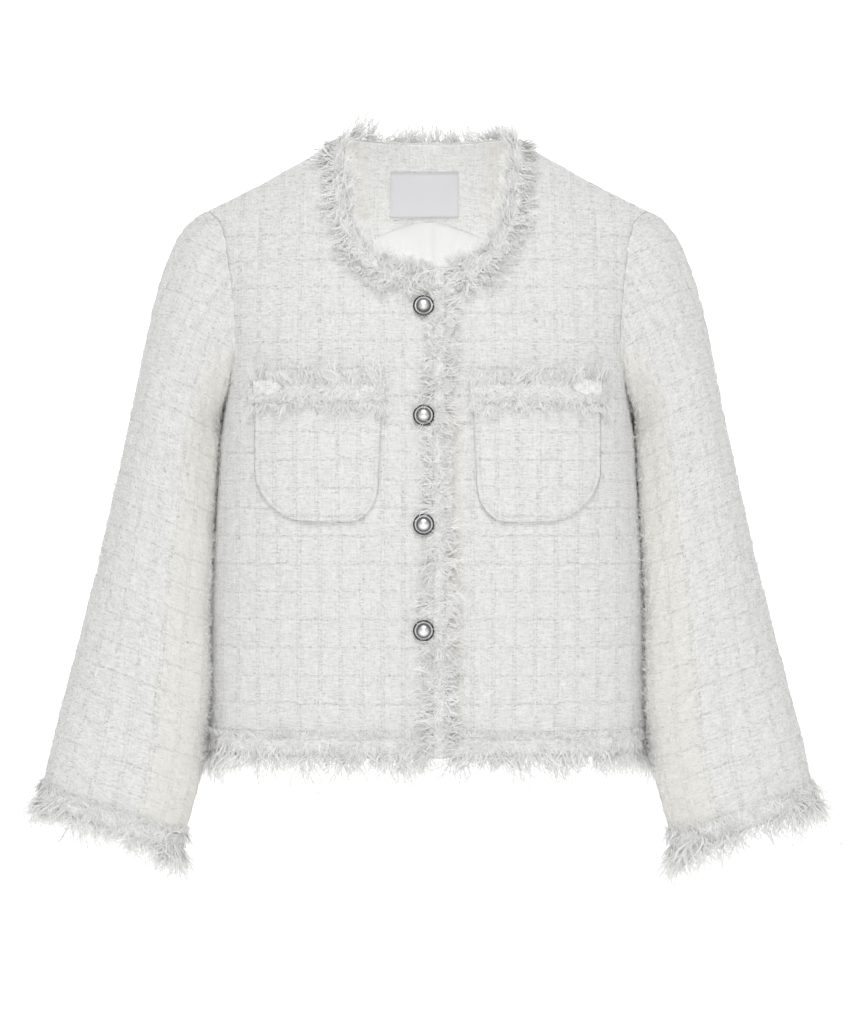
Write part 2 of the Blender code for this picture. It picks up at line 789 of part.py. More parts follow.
def pocket_span(z):
    """How far from the centre a pocket starts and ends at a height."""
    inner = POCKET_INNER + POCKET_TAPER * (POCKET_TOP - z) / (POCKET_TOP - POCKET_FOOT)
    outer = POCKET_OUTER
    for corner in POCKET_CORNERS:
        below = clamp((POCKET_FOOT + corner.high - z) / corner.high)
        cut = corner.wide * (1.0 - math.sqrt(1.0 - below * below))
        if corner.side == "inner":
            inner += cut
        else:
            outer -= cut
    return inner, outer


def build_pocket(name, side):
    """A patch pocket with round lower corners."""
    rows = []
    for r in range(POCKET_ROWS + 1):
        fall = 1.0 - (1.0 - r / POCKET_ROWS) ** 1.7
        z = mix(POCKET_TOP, POCKET_FOOT, fall)
        inner, outer = pocket_span(z)
        xs = [mix(inner, outer, c / POCKET_COLUMNS) for c in range(POCKET_COLUMNS + 1)]
        rows.append([panel_place(side, x, z, -1) for x in xs])
    points, normals = split(rows)
    inner = inset(points, normals, -LAID_ON)
    outer = inset(points, normals, -LAID_ON - TWEED)
    slab(name, outer, inner, tweed())


def build_pocket_trim(name, side):
    """Frayed trim across a pocket's top, over the pocket's cloth."""
    over = LAID_ON + TWEED
    rows = []
    for z in (POCKET_TRIM_FOOT, POCKET_TRIM_TOP):
        row = []
        for k in range(POCKET_TEETH + 1):
            x = mix(POCKET_TRIM_INNER, POCKET_TRIM_OUTER, k / POCKET_TEETH)
            point, normal = panel_place(side, x, z, -1)
            row.append((point + normal * over, normal))
        rows.append(row)
    points, normals = split(rows)
    top = raised(points, normals)
    teeth = frayed(top, normals, 0, 0.0085, lift=0.001) + frayed(top, normals, 1, 0.0085)
    strip(name, points, normals, teeth)


def build_pocket_tab(name, side):
    """The trim's outer end, folded back to a point over itself."""
    over = 2.0 * LAID_ON + TWEED + TRIM
    rows = []
    for high in (-1.0, 0.0, 1.0):
        row = []
        for x, size in ((TAB_OUTER, 1.0), (TAB_SHOULDER, 1.0), (TAB_POINT, 0.1)):
            z = TAB_HEIGHT + high * size * TAB_HALF_HEIGHT
            point, normal = panel_place(side, x, z, -1)
            row.append((point + normal * over, normal))
        rows.append(row)
    points, normals = split(rows)
    strip(name, points, normals, ())


# ---------------------------------------------------------------- inside the back neck

def facing_foot(x):
    """Height of the facing's lower edge at a distance from the centre."""
    return FACING_FOOT - FACING_DROP * x * x / (x * x + FACING_BEND * FACING_BEND)


def cut_across(column, height):
    """Where a column of (point, normal) crosses a line whose height depends on x."""
    for (p, n), (q, m) in zip(column, column[1:]):
        below, above = p.z - height(p.x), q.z - height(q.x)
        if below <= 0.0 < above:
            share = -below / (above - below)
            return p.lerp(q, share), n.lerp(m, share).normalized()
    return column[0]


def back_rows(points, normals, chosen, first=None, last=None):
    """Some rows of the back's own points, with an extra first or last row cut across them."""
    columns = [[(line[k], ns[k]) for line, ns in zip(points, normals)]
               for k in range(len(points[0]))]
    rows = [[column[r] for column in columns] for r in chosen]
    if first:
        rows.insert(0, [cut_across(column, first) for column in columns])
    if last:
        rows.append([cut_across(column, last) for column in columns])
    return rows


def inside(depth, places):
    """Points of the back's cloth, moved in by a depth."""
    return [[p - n * depth for p, n in row] for row in places]


def build_facing(points, normals):
    """The facing behind the back neck, from armhole to armhole."""
    chosen = range(LOWER_ROWS + FACING_ROW, LOWER_ROWS + UPPER_ROWS + 1)
    places = back_rows(points, normals, chosen, first=facing_foot)
    depth = TWEED + LAID_INSIDE
    slab("facing_back", inside(depth, places), inside(depth + FACING, places), tweed())


def build_lining(points, normals):
    """The back lining below the facing, with a pleat down its centre."""
    places = back_rows(points, normals, LINING_ROWS, first=lambda x: LINING_FOOT,
                       last=lambda x: facing_foot(x) - FACING_CLEAR)
    middle = len(places[0]) // 2
    for row in places:
        point, normal = row[middle]
        row[middle] = (point - normal * PLEAT, normal)
    depth = TWEED + LAID_INSIDE
    slab("lining_back", inside(depth, places), inside(depth + LINING, places), satin())


def build_label():
    """The blank label, sewn to the facing."""
    rows = []
    for z in (LABEL_FOOT, 0.5 * (LABEL_FOOT + LABEL_TOP), LABEL_TOP):
        row = []
        for k in range(5):
            x = LABEL_MIDDLE + LABEL_HALF_WIDTH * (k - 2) / 2.0
            row.append(panel_place(math.copysign(1, x), abs(x), z, 1))
        rows.append(row)
    depth = TWEED + LAID_INSIDE + FACING + LAID_ON
    slab("label", inside(depth, rows), inside(depth + LINING, rows), label_cloth())


# ---------------------------------------------------------------- buttons

def build_button(name, height):
    """A domed button in a bright rim, on a short shank, turned about the cloth's direction."""
    place, normal = panel_place(-1, -BUTTON_X, height, -1)
    side_way = normal.cross(Vector((0.0, 0.0, 1.0))).normalized()
    up = side_way.cross(normal).normalized()
    profile = [(SHANK_RADIUS, SHANK_FOOT), (SHANK_RADIUS, BUTTON_BACK),
               (BUTTON_RADIUS * 0.86, BUTTON_BACK), (BUTTON_RADIUS, BUTTON_BACK + 0.0010),
               (BUTTON_RADIUS, BUTTON_BACK + 0.0019), (BUTTON_RADIUS * 0.90, BUTTON_BACK + 0.0026),
               (DOME_RADIUS, BUTTON_BACK + 0.0024)]
    for k in (1, 2):
        angle = 0.5 * math.pi * k / 3.0
        high = BUTTON_BACK + 0.0026 + DOME_HEIGHT * math.sin(angle)
        profile.append((DOME_RADIUS * math.cos(angle), high))
    built = bmesh.new()
    rings = []
    for radius, high in profile:
        ring = []
        for k in range(BUTTON_SIDES):
            angle = 2.0 * math.pi * k / BUTTON_SIDES
            across = side_way * math.cos(angle) + up * math.sin(angle)
            ring.append(built.verts.new(place + normal * high + across * radius))
        rings.append(ring)
    for low, high in zip(rings, rings[1:]):
        for k in range(BUTTON_SIDES):
            n = (k + 1) % BUTTON_SIDES
            built.faces.new((low[k], low[n], high[n], high[k]))
    built.faces.new(rings[0])
    crown = built.verts.new(place + normal * (BUTTON_BACK + 0.0026 + DOME_HEIGHT))
    for k in range(BUTTON_SIDES):
        built.faces.new((rings[-1][k], rings[-1][(k + 1) % BUTTON_SIDES], crown))
    new_object(name, built, button_metal())


# ---------------------------------------------------------------- run

def main():
    """Build every piece."""
    clear_scene()
    build_fronts()
    points, normals = build_back()
    build_facing(points, normals)
    build_lining(points, normals)
    build_label()
    build_neck_trim_front("neck_trim_right", -1, 0.0)
    build_neck_trim_front("neck_trim_left", 1, NECK_TRIM_LEFT_START, lap_sink)
    build_neck_trim_back()
    build_placket_trim()
    build_hem_trim("hem_trim_right", -1, -1, share_of(-0.0025, HEM), 0.999, HEM_TEETH)
    build_hem_trim("hem_trim_left", 1, -1, share_of(HEM_START, HEM), 0.999, HEM_TEETH, lap_sink)
    build_hem_trim("hem_trim_back", 1, 1, -0.999, 0.999, 2 * HEM_TEETH)
    for word, side in (("right", -1), ("left", 1)):
        build_sleeve("sleeve_" + word, side)
        build_cuff_trim("cuff_trim_" + word, side)
        build_pocket("pocket_" + word, side)
        build_pocket_trim("pocket_trim_" + word, side)
        build_pocket_tab("pocket_tab_" + word, side)
    for number, height in enumerate(BUTTON_HEIGHTS, 1):
        build_button("button_%d" % number, height)


main()
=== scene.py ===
"""The looks of a cropped, collarless tweed jacket with frayed trims.

Every cloth piece is read from the same surfaces as its CAD solid, on a finer grid, with the
tweed's relief in its mesh. The frayed trims are woven bands with thousands of loose strands.
Metres, +Z up, the jacket's front faces -Y.
"""

import math

import bpy
import numpy as np
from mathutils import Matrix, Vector
from mathutils.bvhtree import BVHTree


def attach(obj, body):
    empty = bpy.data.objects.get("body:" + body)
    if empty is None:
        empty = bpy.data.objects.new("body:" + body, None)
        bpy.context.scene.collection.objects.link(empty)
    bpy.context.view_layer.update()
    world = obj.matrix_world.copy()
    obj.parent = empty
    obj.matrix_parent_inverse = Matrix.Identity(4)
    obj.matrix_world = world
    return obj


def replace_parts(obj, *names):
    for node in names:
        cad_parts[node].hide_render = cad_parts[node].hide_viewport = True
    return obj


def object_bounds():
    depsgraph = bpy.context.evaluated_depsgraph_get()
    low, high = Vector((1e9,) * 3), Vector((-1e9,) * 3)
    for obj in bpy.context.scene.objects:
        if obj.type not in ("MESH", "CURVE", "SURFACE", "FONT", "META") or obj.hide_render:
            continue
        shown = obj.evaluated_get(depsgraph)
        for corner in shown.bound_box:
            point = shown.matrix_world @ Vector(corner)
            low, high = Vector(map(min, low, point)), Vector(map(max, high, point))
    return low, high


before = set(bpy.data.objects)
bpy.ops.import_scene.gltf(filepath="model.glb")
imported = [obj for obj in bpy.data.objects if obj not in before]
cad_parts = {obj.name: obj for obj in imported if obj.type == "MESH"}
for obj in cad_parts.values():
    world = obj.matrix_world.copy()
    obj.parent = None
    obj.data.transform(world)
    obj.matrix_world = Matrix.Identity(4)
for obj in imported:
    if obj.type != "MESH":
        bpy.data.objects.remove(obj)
CAD_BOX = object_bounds()
random = np.random.default_rng(7)
LOW, HIGH = (np.array(list(v)) for v in CAD_BOX)
ROOM = 0.025 * (HIGH - LOW) + 0.009            # how far a loose strand may stand out

# ---------------------------------------------------------------- the jacket's sizes

# the body: thickness of the cloth and the trims, the gap under what is laid on, and the outline
TWEED, TRIM, LAID_ON, LAID_ON_CURVE = 0.0020, 0.0012, 0.0006, 0.0011
HEM, UNDERARM = -0.506, -0.208
NECK_HALF, NECK_TOP, NECK_FRONT, NECK_SQUARE = 0.0705, 0.0205, -0.1000, 2.8
TIP_HALF, SHOULDER_FALL, SHOULDER_EASE, NECK_CROWN = 0.1900, 0.60, 0.50, 0.045
CLOSE_POWER, CLOSE_ROUND, CLOSE_FROM = 1.6, 0.588, {-1: -0.240, 1: -0.140}
LAP_OVER, LAP_UNDER, LAP_SINK, LAP_FLAT, LAP_RISE = 0.0160, 0.0200, 0.0030, 0.0180, 0.0340
NECK_SHARE = 8.0 / 13.0       # share of a panel's columns that ends at the neck
ARMHOLE_REACH = 3
NECK_TRIM, HEM_TRIM, CUFF_TRIM = 0.0160, 0.0170, 0.0160
TRIM_START = 0.0185           # where the left front's trims come out from under the lap
TRIM_BELOW = 0.0008           # a trim's woven band starts this far below the cloth's edge
NECK_TRIM_END = 0.995         # how far along the neckline its trims reach

# z, half breadth, front depth, back depth, squareness
SECTIONS = np.array([
    (-0.506, 0.1890, 0.1130, 0.1000, 2.70),
    (-0.488, 0.1920, 0.1132, 0.0995, 2.72),
    (-0.450, 0.1920, 0.1135, 0.0985, 2.75),
    (-0.380, 0.1880, 0.1150, 0.0960, 2.80),
    (-0.300, 0.1818, 0.1165, 0.0945, 2.80),
    (-0.240, 0.1770, 0.1170, 0.0950, 2.80),
    (-0.205, 0.1738, 0.1160, 0.0960, 2.80),
    (-0.150, 0.1765, 0.1140, 0.0970, 2.80),
    (-0.090, 0.1880, 0.1120, 0.0960, 2.80),
    (-0.040, 0.2020, 0.1100, 0.0940, 2.80),
    (0.070, 0.2200, 0.1060, 0.0900, 2.80),
])
# way up the armhole, z, half breadth in front, half breadth behind
ARMHOLE = np.array([
    (0.173, -0.2000, 0.1700, 0.1712),
    (0.266, -0.1850, 0.1655, 0.1690),
    (0.359, -0.1650, 0.1635, 0.1685),
    (0.429, -0.1500, 0.1635, 0.1690),
    (0.577, -0.1200, 0.1660, 0.1715),
    (0.736, -0.0860, 0.1705, 0.1750),
    (0.891, -0.0560, 0.1780, 0.1805),
])
# z, x, y, half breadth, half depth, tilt in degrees, squareness, from the cuff up
SLEEVE = np.array([
    (-0.5674, 0.2679, -0.060, 0.0627, 0.0250, 19.9, 2.4),
    (-0.5050, 0.2523, -0.058, 0.0638, 0.0310, 14.5, 2.4),
    (-0.4400, 0.2429, -0.050, 0.0571, 0.0385, 12.0, 2.3),
    (-0.3700, 0.2351, -0.034, 0.0487, 0.0465, 11.0, 2.4),
    (-0.3000, 0.2263, -0.012, 0.0437, 0.0540, 10.0, 2.5),
    (-0.2350, 0.2174, 0.000, 0.0396, 0.0590, 9.0, 2.5),
])
CUFF, SLEEVE_TOP = SLEEVE[0, 0], SLEEVE[-1, 0]
CAP_START, CAP_END, CAP_OUT_TIP, CAP_OUT_UNDER, CAP_SWELL = 0.70, 1.03, 0.945, 0.22, 0.38

# pockets, what shows inside the neck, and buttons
POCKET_TOP, POCKET_FOOT, POCKET_INNER, POCKET_OUTER = -0.1980, -0.3115, 0.0370, 0.1430
POCKET_TAPER = 0.0045
POCKET_CORNERS = (("inner", 0.024, 0.030), ("outer", 0.048, 0.046))
POCKET_TRIM_ROWS, POCKET_TRIM_SPAN = (-0.2165, -0.1940), (0.0350, 0.1480)
TAB_HEIGHT, TAB_HALF_HEIGHT = -0.2005, 0.0100
TAB_ENDS = (0.1425, 0.1285, 0.1180)
FACING_FOOT, FACING_DROP, FACING_BEND, FACING = -0.0456, 0.042, 0.070, 0.0015
FACING_HALF_WIDTH, LINING_HALF_WIDTH = 0.155, 0.150
LINING_FOOT, PLEAT, INSIDE = -0.486, 0.0030, 0.0009
LABEL_MIDDLE, LABEL_HALF_WIDTH, LABEL_TOP, LABEL_FOOT = -0.0028, 0.031, -0.0024, -0.0415
BUTTON_RADIUS, BUTTON_BACK, DOME_RADIUS, DOME_HEIGHT = 0.0088, 0.0024, 0.0062, 0.0034
BUTTON_X, BUTTON_HEIGHTS = -0.0032, (-0.1330, -0.2240, -0.3135, -0.4010)
RIM_WIRE, BUTTON_SIDES = 0.00068, 56

# the cloth's look
CHECK_PITCH, CHECK_START = 0.01735, 0.0198    # the check's vertical lines
CHECK_ROWS, CHECK_FOOT = 0.0231, 0.0674       # and its cross lines
LINE_SHIFT = 0.5 * CHECK_PITCH - CHECK_START  # move the lines to where they lie on the fronts
ROW_SHIFT = 0.5 * CHECK_ROWS - CHECK_FOOT
FRONT_GRID, BACK_GRID = (130, 150, 110), (100, 116, 84)   # columns, low rows and high rows
SLEEVE_COLUMNS, CAP_ROWS, TUBE_ROWS = 200, 70, 170
SINK_IN = 0.0002                              # the cloth's mesh starts this far inside its solid
SEAM_VALLEY, VALLEY_DEPTH = 0.0030, 0.0004    # the hollow along an armhole seam
ARMHOLE_FOOT = UNDERARM + 0.002               # a panel's side edge is the armhole's above it
GRAIN_ROW = 150                               # the row that spaces a sleeve's grain
# in degrees round a sleeve from its outer edge forward: its fold beside the body, the strip with
# more hairs next to the body, and where the painted warm bounce light on its inner side begins
FOLD_TURN, FOLD_SPREAD, FOLD_SIZE = 154, 24, 0.0058
FOLD_GAP = 0.0012                             # room left between the fold and the body's cloth
EDGE_TURN, EDGE_REACH = 172, 20
PAINTED_BOUNCE_TURN, PAINTED_BOUNCE_SPREAD = 95, 25
GROOVE_IN, GROOVE_WIDTH, GROOVE_DEPTH = 0.0042, 0.0009, 0.0005   # along a pocket's turned edge
ALL_EDGES = ("low", "high", "first", "last")
LONG_STRAND = 0.012                           # longer strands have three segments, not two
TUFT_PITCH = {True: 0.0092, False: 0.0055}    # between tufts of long and of short strands
STRAND_WIDTH = {True: 0.00092, False: 0.00070}
HAIR = 0.00022                                # half a hair's width
FRONT_HAIRS, BACK_HAIRS = (4500, 0.0030), (6000, 0.0030)  # how many, and how long
SLEEVE_HAIRS, EDGE_HAIRS = (11000, 0.0042), (2600, 0.0056)

# the photograph's height, its pixels to a metre at the jacket, and where the camera stands
PHOTO_HEIGHT, PIXELS, SENSOR = 1024.0, 1160.0, 36.0
CAMERA_X, CAMERA_AWAY, CAMERA_Z = -0.00086, 2.6, -0.3034
FLOOR_Z, FLOOR_END, BACKDROP_AWAY, BACKDROP_CURVE = -0.95, 1.1, 1.5, 1.2

# for each trim, the count and length of the lint all over it, then its rows of strands: share
# across, way (-1 is out over the first edge), count, length, flare and, if it isn't the whole
# trim, the part of it
FRINGES = {
    "neck_front": ((900, 0.0062), (
        (0.06, -1, 620, 0.0165, 0.45), (0.40, -1, 450, 0.0145, 0.6),
        (0.94, 1, 700, 0.0175, 0.35), (0.62, 1, 450, 0.0160, 0.5),
        (0.80, 1, 110, 0.0180, 1.30, 0.92, 1.0), (0.2, -1, 110, 0.0180, 1.3, 0.92, 1.0))),
    "neck_back": ((900, 0.0062), (
        (0.04, -1, 360, 0.0290, 0.35), (0.35, -1, 120, 0.0270, 0.45),
        (0.96, 1, 600, 0.0085, 0.35), (0.6, 1, 400, 0.0095, 0.5),
        (0.1, -1, 60, 0.0320, 0.6, 0.0, 0.10), (0.1, -1, 60, 0.0320, 0.6, 0.90, 1.0))),
    "placket": ((1500, 0.0070), (
        (0.06, -1, 1500, 0.0165, 0.22), (0.94, 1, 1300, 0.0150, 0.22),
        (0.5, 1, 900, 0.0110, 0.4), (0.5, -1, 900, 0.0110, 0.4))),
    "hem": ((900, 0.0068), (
        (0.04, -1, 640, 0.0310, 0.20), (0.30, -1, 300, 0.0340, 0.30),
        (0.02, -1, 350, 0.0200, 0.25), (0.94, 1, 1000, 0.0095, 0.30),
        (0.6, -1, 700, 0.0115, 0.35))),
    "cuff": ((900, 0.0070), (
        (0.04, -1, 800, 0.0340, 0.50), (0.30, -1, 420, 0.0350, 0.65),
        (0.10, -1, 130, 0.0390, 0.45, 0.37, 0.51), (0.02, -1, 600, 0.0240, 0.40),
        (0.95, -1, 1000, 0.0155, 0.75), (0.94, 1, 700, 0.0080, 0.50))),
    "pocket": ((700, 0.0065), (
        (0.05, -1, 700, 0.0110, 0.25), (0.90, 1, 650, 0.0150, 0.22),
        (0.5, -1, 300, 0.0085, 0.4), (0.72, 1, 300, 0.0119, 0.3))),
}
HEM_COLUMNS = 200             # how many columns of a hem trim its counts are for


# ---------------------------------------------------------------- surfaces

def follow(table, column, at):
    """Read a column of a table along a smooth curve through its rows."""
    keys, values = table[:, 0], table[:, column]
    last = len(keys) - 1
    low, high = np.maximum(np.arange(last + 1) - 1, 0), np.minimum(np.arange(last + 1) + 1, last)
    slopes = (values[high] - values[low]) / (keys[high] - keys[low])
    at = np.clip(at, keys[0], keys[-1])
    slot = np.clip(np.searchsorted(keys, at) - 1, 0, last - 1)
    span = keys[slot + 1] - keys[slot]
    s = (at - keys[slot]) / span
    hold = (1 + 2 * s) * (1 - s) ** 2 * values[slot] + s * (1 - s) ** 2 * span * slopes[slot]
    reach = s * s * (3 - 2 * s) * values[slot + 1] + s * s * (s - 1) * span * slopes[slot + 1]
    return hold + reach


def mix(low, high, share):
    """Straight blend."""
    return low + (high - low) * share


def ease(value):
    """Smooth step from 0 to 1."""
    value = np.clip(value, 0.0, 1.0)
    return value * value * (3.0 - 2.0 * value)


def even_turn(share, power, balance=1.0):
    """Angle of a superellipse, 0 at share 1 and a right angle at share 0, evenly spaced."""
    near = np.clip(1.0 - share, 0.0, 1.0) ** (power / 2.0)
    far = balance * np.clip(share, 0.0, 1.0) ** (power / 2.0)
    return 0.5 * np.pi * near / (near + far)


def even_share(turn, power, balance=1.0):
    """The share at which even_turn() gives an angle."""
    part = np.clip(turn / (0.5 * np.pi), 0.0, 1.0 - 1e-12)
    return 1.0 / (1.0 + (balance * part / (1.0 - part)) ** (2.0 / power))


def shoulder_height(x):
    """Height of the shoulder line at a distance from the centre, domed inside the neck."""
    run = np.abs(x) - NECK_HALF
    slope = NECK_TOP - SHOULDER_FALL * run + SHOULDER_EASE * run * run
    u = x / NECK_HALF
    bend = 0.5 * SHOULDER_FALL * NECK_HALF - NECK_CROWN
    dome = NECK_TOP + (NECK_CROWN - bend) * (1.0 - u * u) + bend * (1.0 - u ** 4)
    return np.where(run >= 0.0, slope, dome)


def closing(x, z, face):
    """How much of its depth the front or the back still has at a height."""
    start = CLOSE_FROM[face]
    climb = np.clip((z - start) / (shoulder_height(x) - start), 0.0, 1.0)
    return (1.0 - climb ** CLOSE_POWER) ** CLOSE_ROUND


def warp(z):
    """Half breadth, exponent and balance that space a section's points evenly."""
    half, square = follow(SECTIONS, 1, z), follow(SECTIONS, 4, z)
    depth = 0.5 * (follow(SECTIONS, 2, z) + follow(SECTIONS, 3, z))
    return half, square, (depth / half) ** (square / 4.0)


def torso(side, share, z, face):
    """Points of the outer cloth. Share is 0 at the centre line and 1 at the side seam."""
    share, z = np.broadcast_arrays(np.asarray(share, float), np.asarray(z, float))
    half, square, balance = warp(z)
    depth = follow(SECTIONS, 2 if face < 0 else 3, z)
    turn = even_turn(np.abs(share), square, balance)
    x = np.copysign(half * np.maximum(np.cos(turn), 0.0) ** (2.0 / square), share)
    y = depth * np.sin(turn) ** (2.0 / square) * closing(x, z, face)
    return np.stack([side * x, face * y, z], -1)


def share_of(x, z):
    """The share at which torso() reaches a distance x from the centre."""
    half, square, balance = warp(z)
    turn = np.arccos(np.clip(np.abs(x) / half, 0.0, 1.0) ** (square / 2.0))
    return np.copysign(even_share(turn, square, balance), x)


def unit(vectors):
    """Directions of some vectors."""
    return vectors / np.maximum(np.linalg.norm(vectors, axis=-1, keepdims=True), 1e-12)


def outward(side, share, z, face):
    """Directions out of the body's cloth."""
    across = torso(side, np.minimum(share + 0.004, 1.0), z, face)
    across = across - torso(side, share - 0.004, z, face)
    up = torso(side, share, z, face) - torso(side, share, z - 0.001, face)
    return unit(np.cross(across, up) * (side * -face))


def place(side, x, z, face, sink=None):
    """Points and outward directions of the body's cloth at x and z."""
    x, z = np.broadcast_arrays(np.asarray(x, float), np.asarray(z, float))
    share = share_of(x, z)
    point = torso(side, share, z, face)
    if sink:
        point[..., 1] -= face * sink(x)
    return point, outward(side, share, z, face)


def place_both(x, z, face, sink=None):
    """The same for x on both sides of the centre."""
    points, normals = place(1, np.abs(x), z, face, sink)
    points[..., 0] *= np.sign(x)
    normals[..., 0] *= np.sign(x)
    return points, normals


def neck_point(way, out=0.0):
    """x and z of the front neckline, from the centre (0) to the shoulder seam (1)."""
    width = NECK_HALF + out * 0.87
    top = shoulder_height(width)
    turn = even_turn(way, NECK_SQUARE)
    x = width * np.maximum(np.cos(turn), 0.0) ** (2.0 / NECK_SQUARE)
    return x, top - (top - NECK_FRONT + out) * np.sin(turn) ** (2.0 / NECK_SQUARE)


def back_neck_point(way, out=0.0):
    """x and z of the back neckline, from the centre (0) to the shoulder seam (1)."""
    width = NECK_HALF + out * 0.87
    return width * way, mix(NECK_TOP - out * 0.8, shoulder_height(width), np.abs(way) ** 3)


def neckline_way(x):
    """How far along the front neckline a distance from the centre lies."""
    turn = np.arccos(np.clip(abs(x) / NECK_HALF, 0.0, 1.0) ** (NECK_SQUARE / 2.0))
    return np.copysign(even_share(turn, NECK_SQUARE), x)


def armhole(way, face):
    """Share and height of the armhole seam, from the underarm (0) to the shoulder tip (1)."""
    tip = float(shoulder_height(TIP_HALF))
    half = ARMHOLE[:, 2 if face < 0 else 3]
    rows = [(0.0, UNDERARM, 1.0)]
    rows += list(zip(ARMHOLE[:, 0], ARMHOLE[:, 1], share_of(half, ARMHOLE[:, 1])))
    rows.append((1.0, tip, float(share_of(TIP_HALF, tip))))
    table = np.array(rows)
    return follow(table, 2, way), follow(table, 1, way)


def upper_way(step):
    """How far up the armhole a row lies, closer rows near the shoulder."""
    return 0.35 * step + 0.65 * np.sin(0.5 * np.pi * step)


def panel_cells(face, edge_x, columns, low_rows, high_rows):
    """Share and height of a panel's points, hem to shoulder and centre edge to side."""
    neck = round(columns * NECK_SHARE)
    c = np.concatenate([np.linspace(0, NECK_SHARE, neck, endpoint=False),
                        np.linspace(NECK_SHARE, 1, columns - neck + 1)])
    z = np.linspace(HEM, UNDERARM, low_rows, endpoint=False)[:, None]
    start = share_of(edge_x, z)
    low = np.stack(np.broadcast_arrays(mix(start, 1.0, c[None]), z), -1)

    on_neck = np.minimum(c / NECK_SHARE, 1.0)
    if face < 0:
        way = mix(neckline_way(edge_x), 1.0, on_neck)
        x, z = neck_point(np.abs(way))
        x = np.copysign(x, way)
    else:
        x, z = back_neck_point(mix(edge_x / NECK_HALF, 1.0, on_neck))
    past = c > NECK_SHARE
    x = np.where(past, mix(NECK_HALF, TIP_HALF, (c - NECK_SHARE) / (1.0 - NECK_SHARE)), x)
    z = np.where(past, shoulder_height(x), z)
    top = np.stack([share_of(x, z), z], -1)
    bottom = np.stack(np.broadcast_arrays(mix(share_of(edge_x, UNDERARM), 1.0, c), UNDERARM), -1)

    way = upper_way(np.linspace(0, 1, high_rows + 1))
    left_z = mix(UNDERARM, top[0, 1], way)
    left = np.stack([share_of(edge_x, left_z), left_z], -1)
    right = np.stack(armhole(way, face), -1)
    w = way[:, None, None]
    cells = mix(bottom[None], top[None], w)
    cells = cells + (left[:, None] - mix(bottom[:1], top[:1], w)) * (1.0 - c)[None, :, None]
    bend = c[None, :, None] ** ARMHOLE_REACH
    cells = cells + (right[:, None] - mix(bottom[-1:], top[-1:], w)) * bend
    return np.concatenate([low, cells])


def lap_sink(x):
    """How far the left front lies below the right one near the centre."""
    return LAP_SINK * (1.0 - ease((x - LAP_FLAT) / (LAP_RISE - LAP_FLAT)))


def sleeve_ring(side, z, turn, out=0.0):
    """Points of a sleeve round its ring at a height; turn 0 is the outer edge, 90 the front."""
    x, y, half, depth, tilt, square = (follow(SLEEVE, k, z) for k in range(1, 7))
    tilt = np.radians(tilt)
    c, s = np.cos(turn), np.sin(turn)
    wide = np.sign(c) * np.abs(c) ** (2.0 / square) * (half + out)
    deep = np.sign(s) * np.abs(s) ** (2.0 / square) * (depth + out)
    shape = [side * (x + wide * np.cos(tilt)), y - deep, z + wide * np.sin(tilt)]
    return np.stack(np.broadcast_arrays(*shape), -1)


def armhole_ring(side, turn):
    """Points and cloth directions round the armhole, for turns from the tip forward."""
    points, normals = np.zeros(turn.shape + (3,)), np.zeros(turn.shape + (3,))
    for face in (-1, 1):
        pick = turn < np.pi if face < 0 else turn >= np.pi
        step = 1.0 - turn[pick] / np.pi if face < 0 else turn[pick] / np.pi - 1.0
        share, z = armhole(upper_way(step), face)
        points[pick] = torso(side, share, z, face)
        normals[pick] = outward(side, *armhole(np.clip(upper_way(step), 0.02, 0.985), face), face)
    return points, normals


def sleeve_cap(side, s, turn):
    """Points between the armhole seam (s 0) and the upper arm (s 1), on a smooth curve."""
    start, normal = armhole_ring(side, turn)
    outer = (0.5 + 0.5 * np.cos(turn))[..., None]
    end = sleeve_ring(side, SLEEVE_TOP, turn)
    run_in = unit(sleeve_ring(side, SLEEVE_TOP - 0.01, turn) - end)
    out = mix(CAP_OUT_UNDER, CAP_OUT_TIP, outer[..., 0])
    leave = unit(np.stack([side * out, -CAP_SWELL * np.sin(turn), -np.sqrt(1.0 - out * out)], -1))
    reach = np.linalg.norm(end - start, axis=-1, keepdims=True)
    seam = unit(np.stack(np.broadcast_arrays(side * mix(0.25, 0.87, outer[..., 0]), 0.0,
                                             mix(0.97, -0.5, outer[..., 0])), -1))
    begin = start + unit(normal + seam) * 0.0003
    s = np.asarray(s)[:, None, None]
    point = begin * (1 + 2 * s) * (1 - s) ** 2 + end * s * s * (3 - 2 * s)
    point = point + leave * reach * mix(1.0, CAP_START, outer) * s * (1 - s) ** 2
    return point + run_in * reach * CAP_END * s * s * (s - 1)


# ---------------------------------------------------------------- relief

def value_noise(u, v, cell_u, cell_v, seed):
    """Smooth noise from -1 to 1 over two distances, with its own cell size along each."""
    table = np.random.default_rng(seed).uniform(-1.0, 1.0, (256, 256))
    a, b = u / cell_u + 1000.0, v / cell_v + 1000.0
    i, j = np.floor(a).astype(int), np.floor(b).astype(int)
    s, t = ease(a - i), ease(b - j)
    i0, i1, j0, j1 = i % 256, (i + 1) % 256, j % 256, (j + 1) % 256
    low = mix(table[i0, j0], table[i1, j0], s)
    return mix(low, mix(table[i0, j1], table[i1, j1], s), t)


def boucle(u, v, seed):
    """Height of the tweed's loops, slubs and soft unevenness, in metres."""
    soft = 0.00030 * value_noise(u, v, 0.034, 0.030, seed + 1)
    soft = soft + 0.00022 * value_noise(u, v, 0.010, 0.008, seed + 2)
    weft = 0.00026 * value_noise(u, v, 0.0062, 0.0023, seed + 3)
    ends = 0.00022 * value_noise(u, v, 0.0023, 0.0062, seed + 4)
    loops = 0.00040 * np.abs(value_noise(u, v, 0.0028, 0.0028, seed + 5)) ** 1.5
    return soft + weft + ends + loops


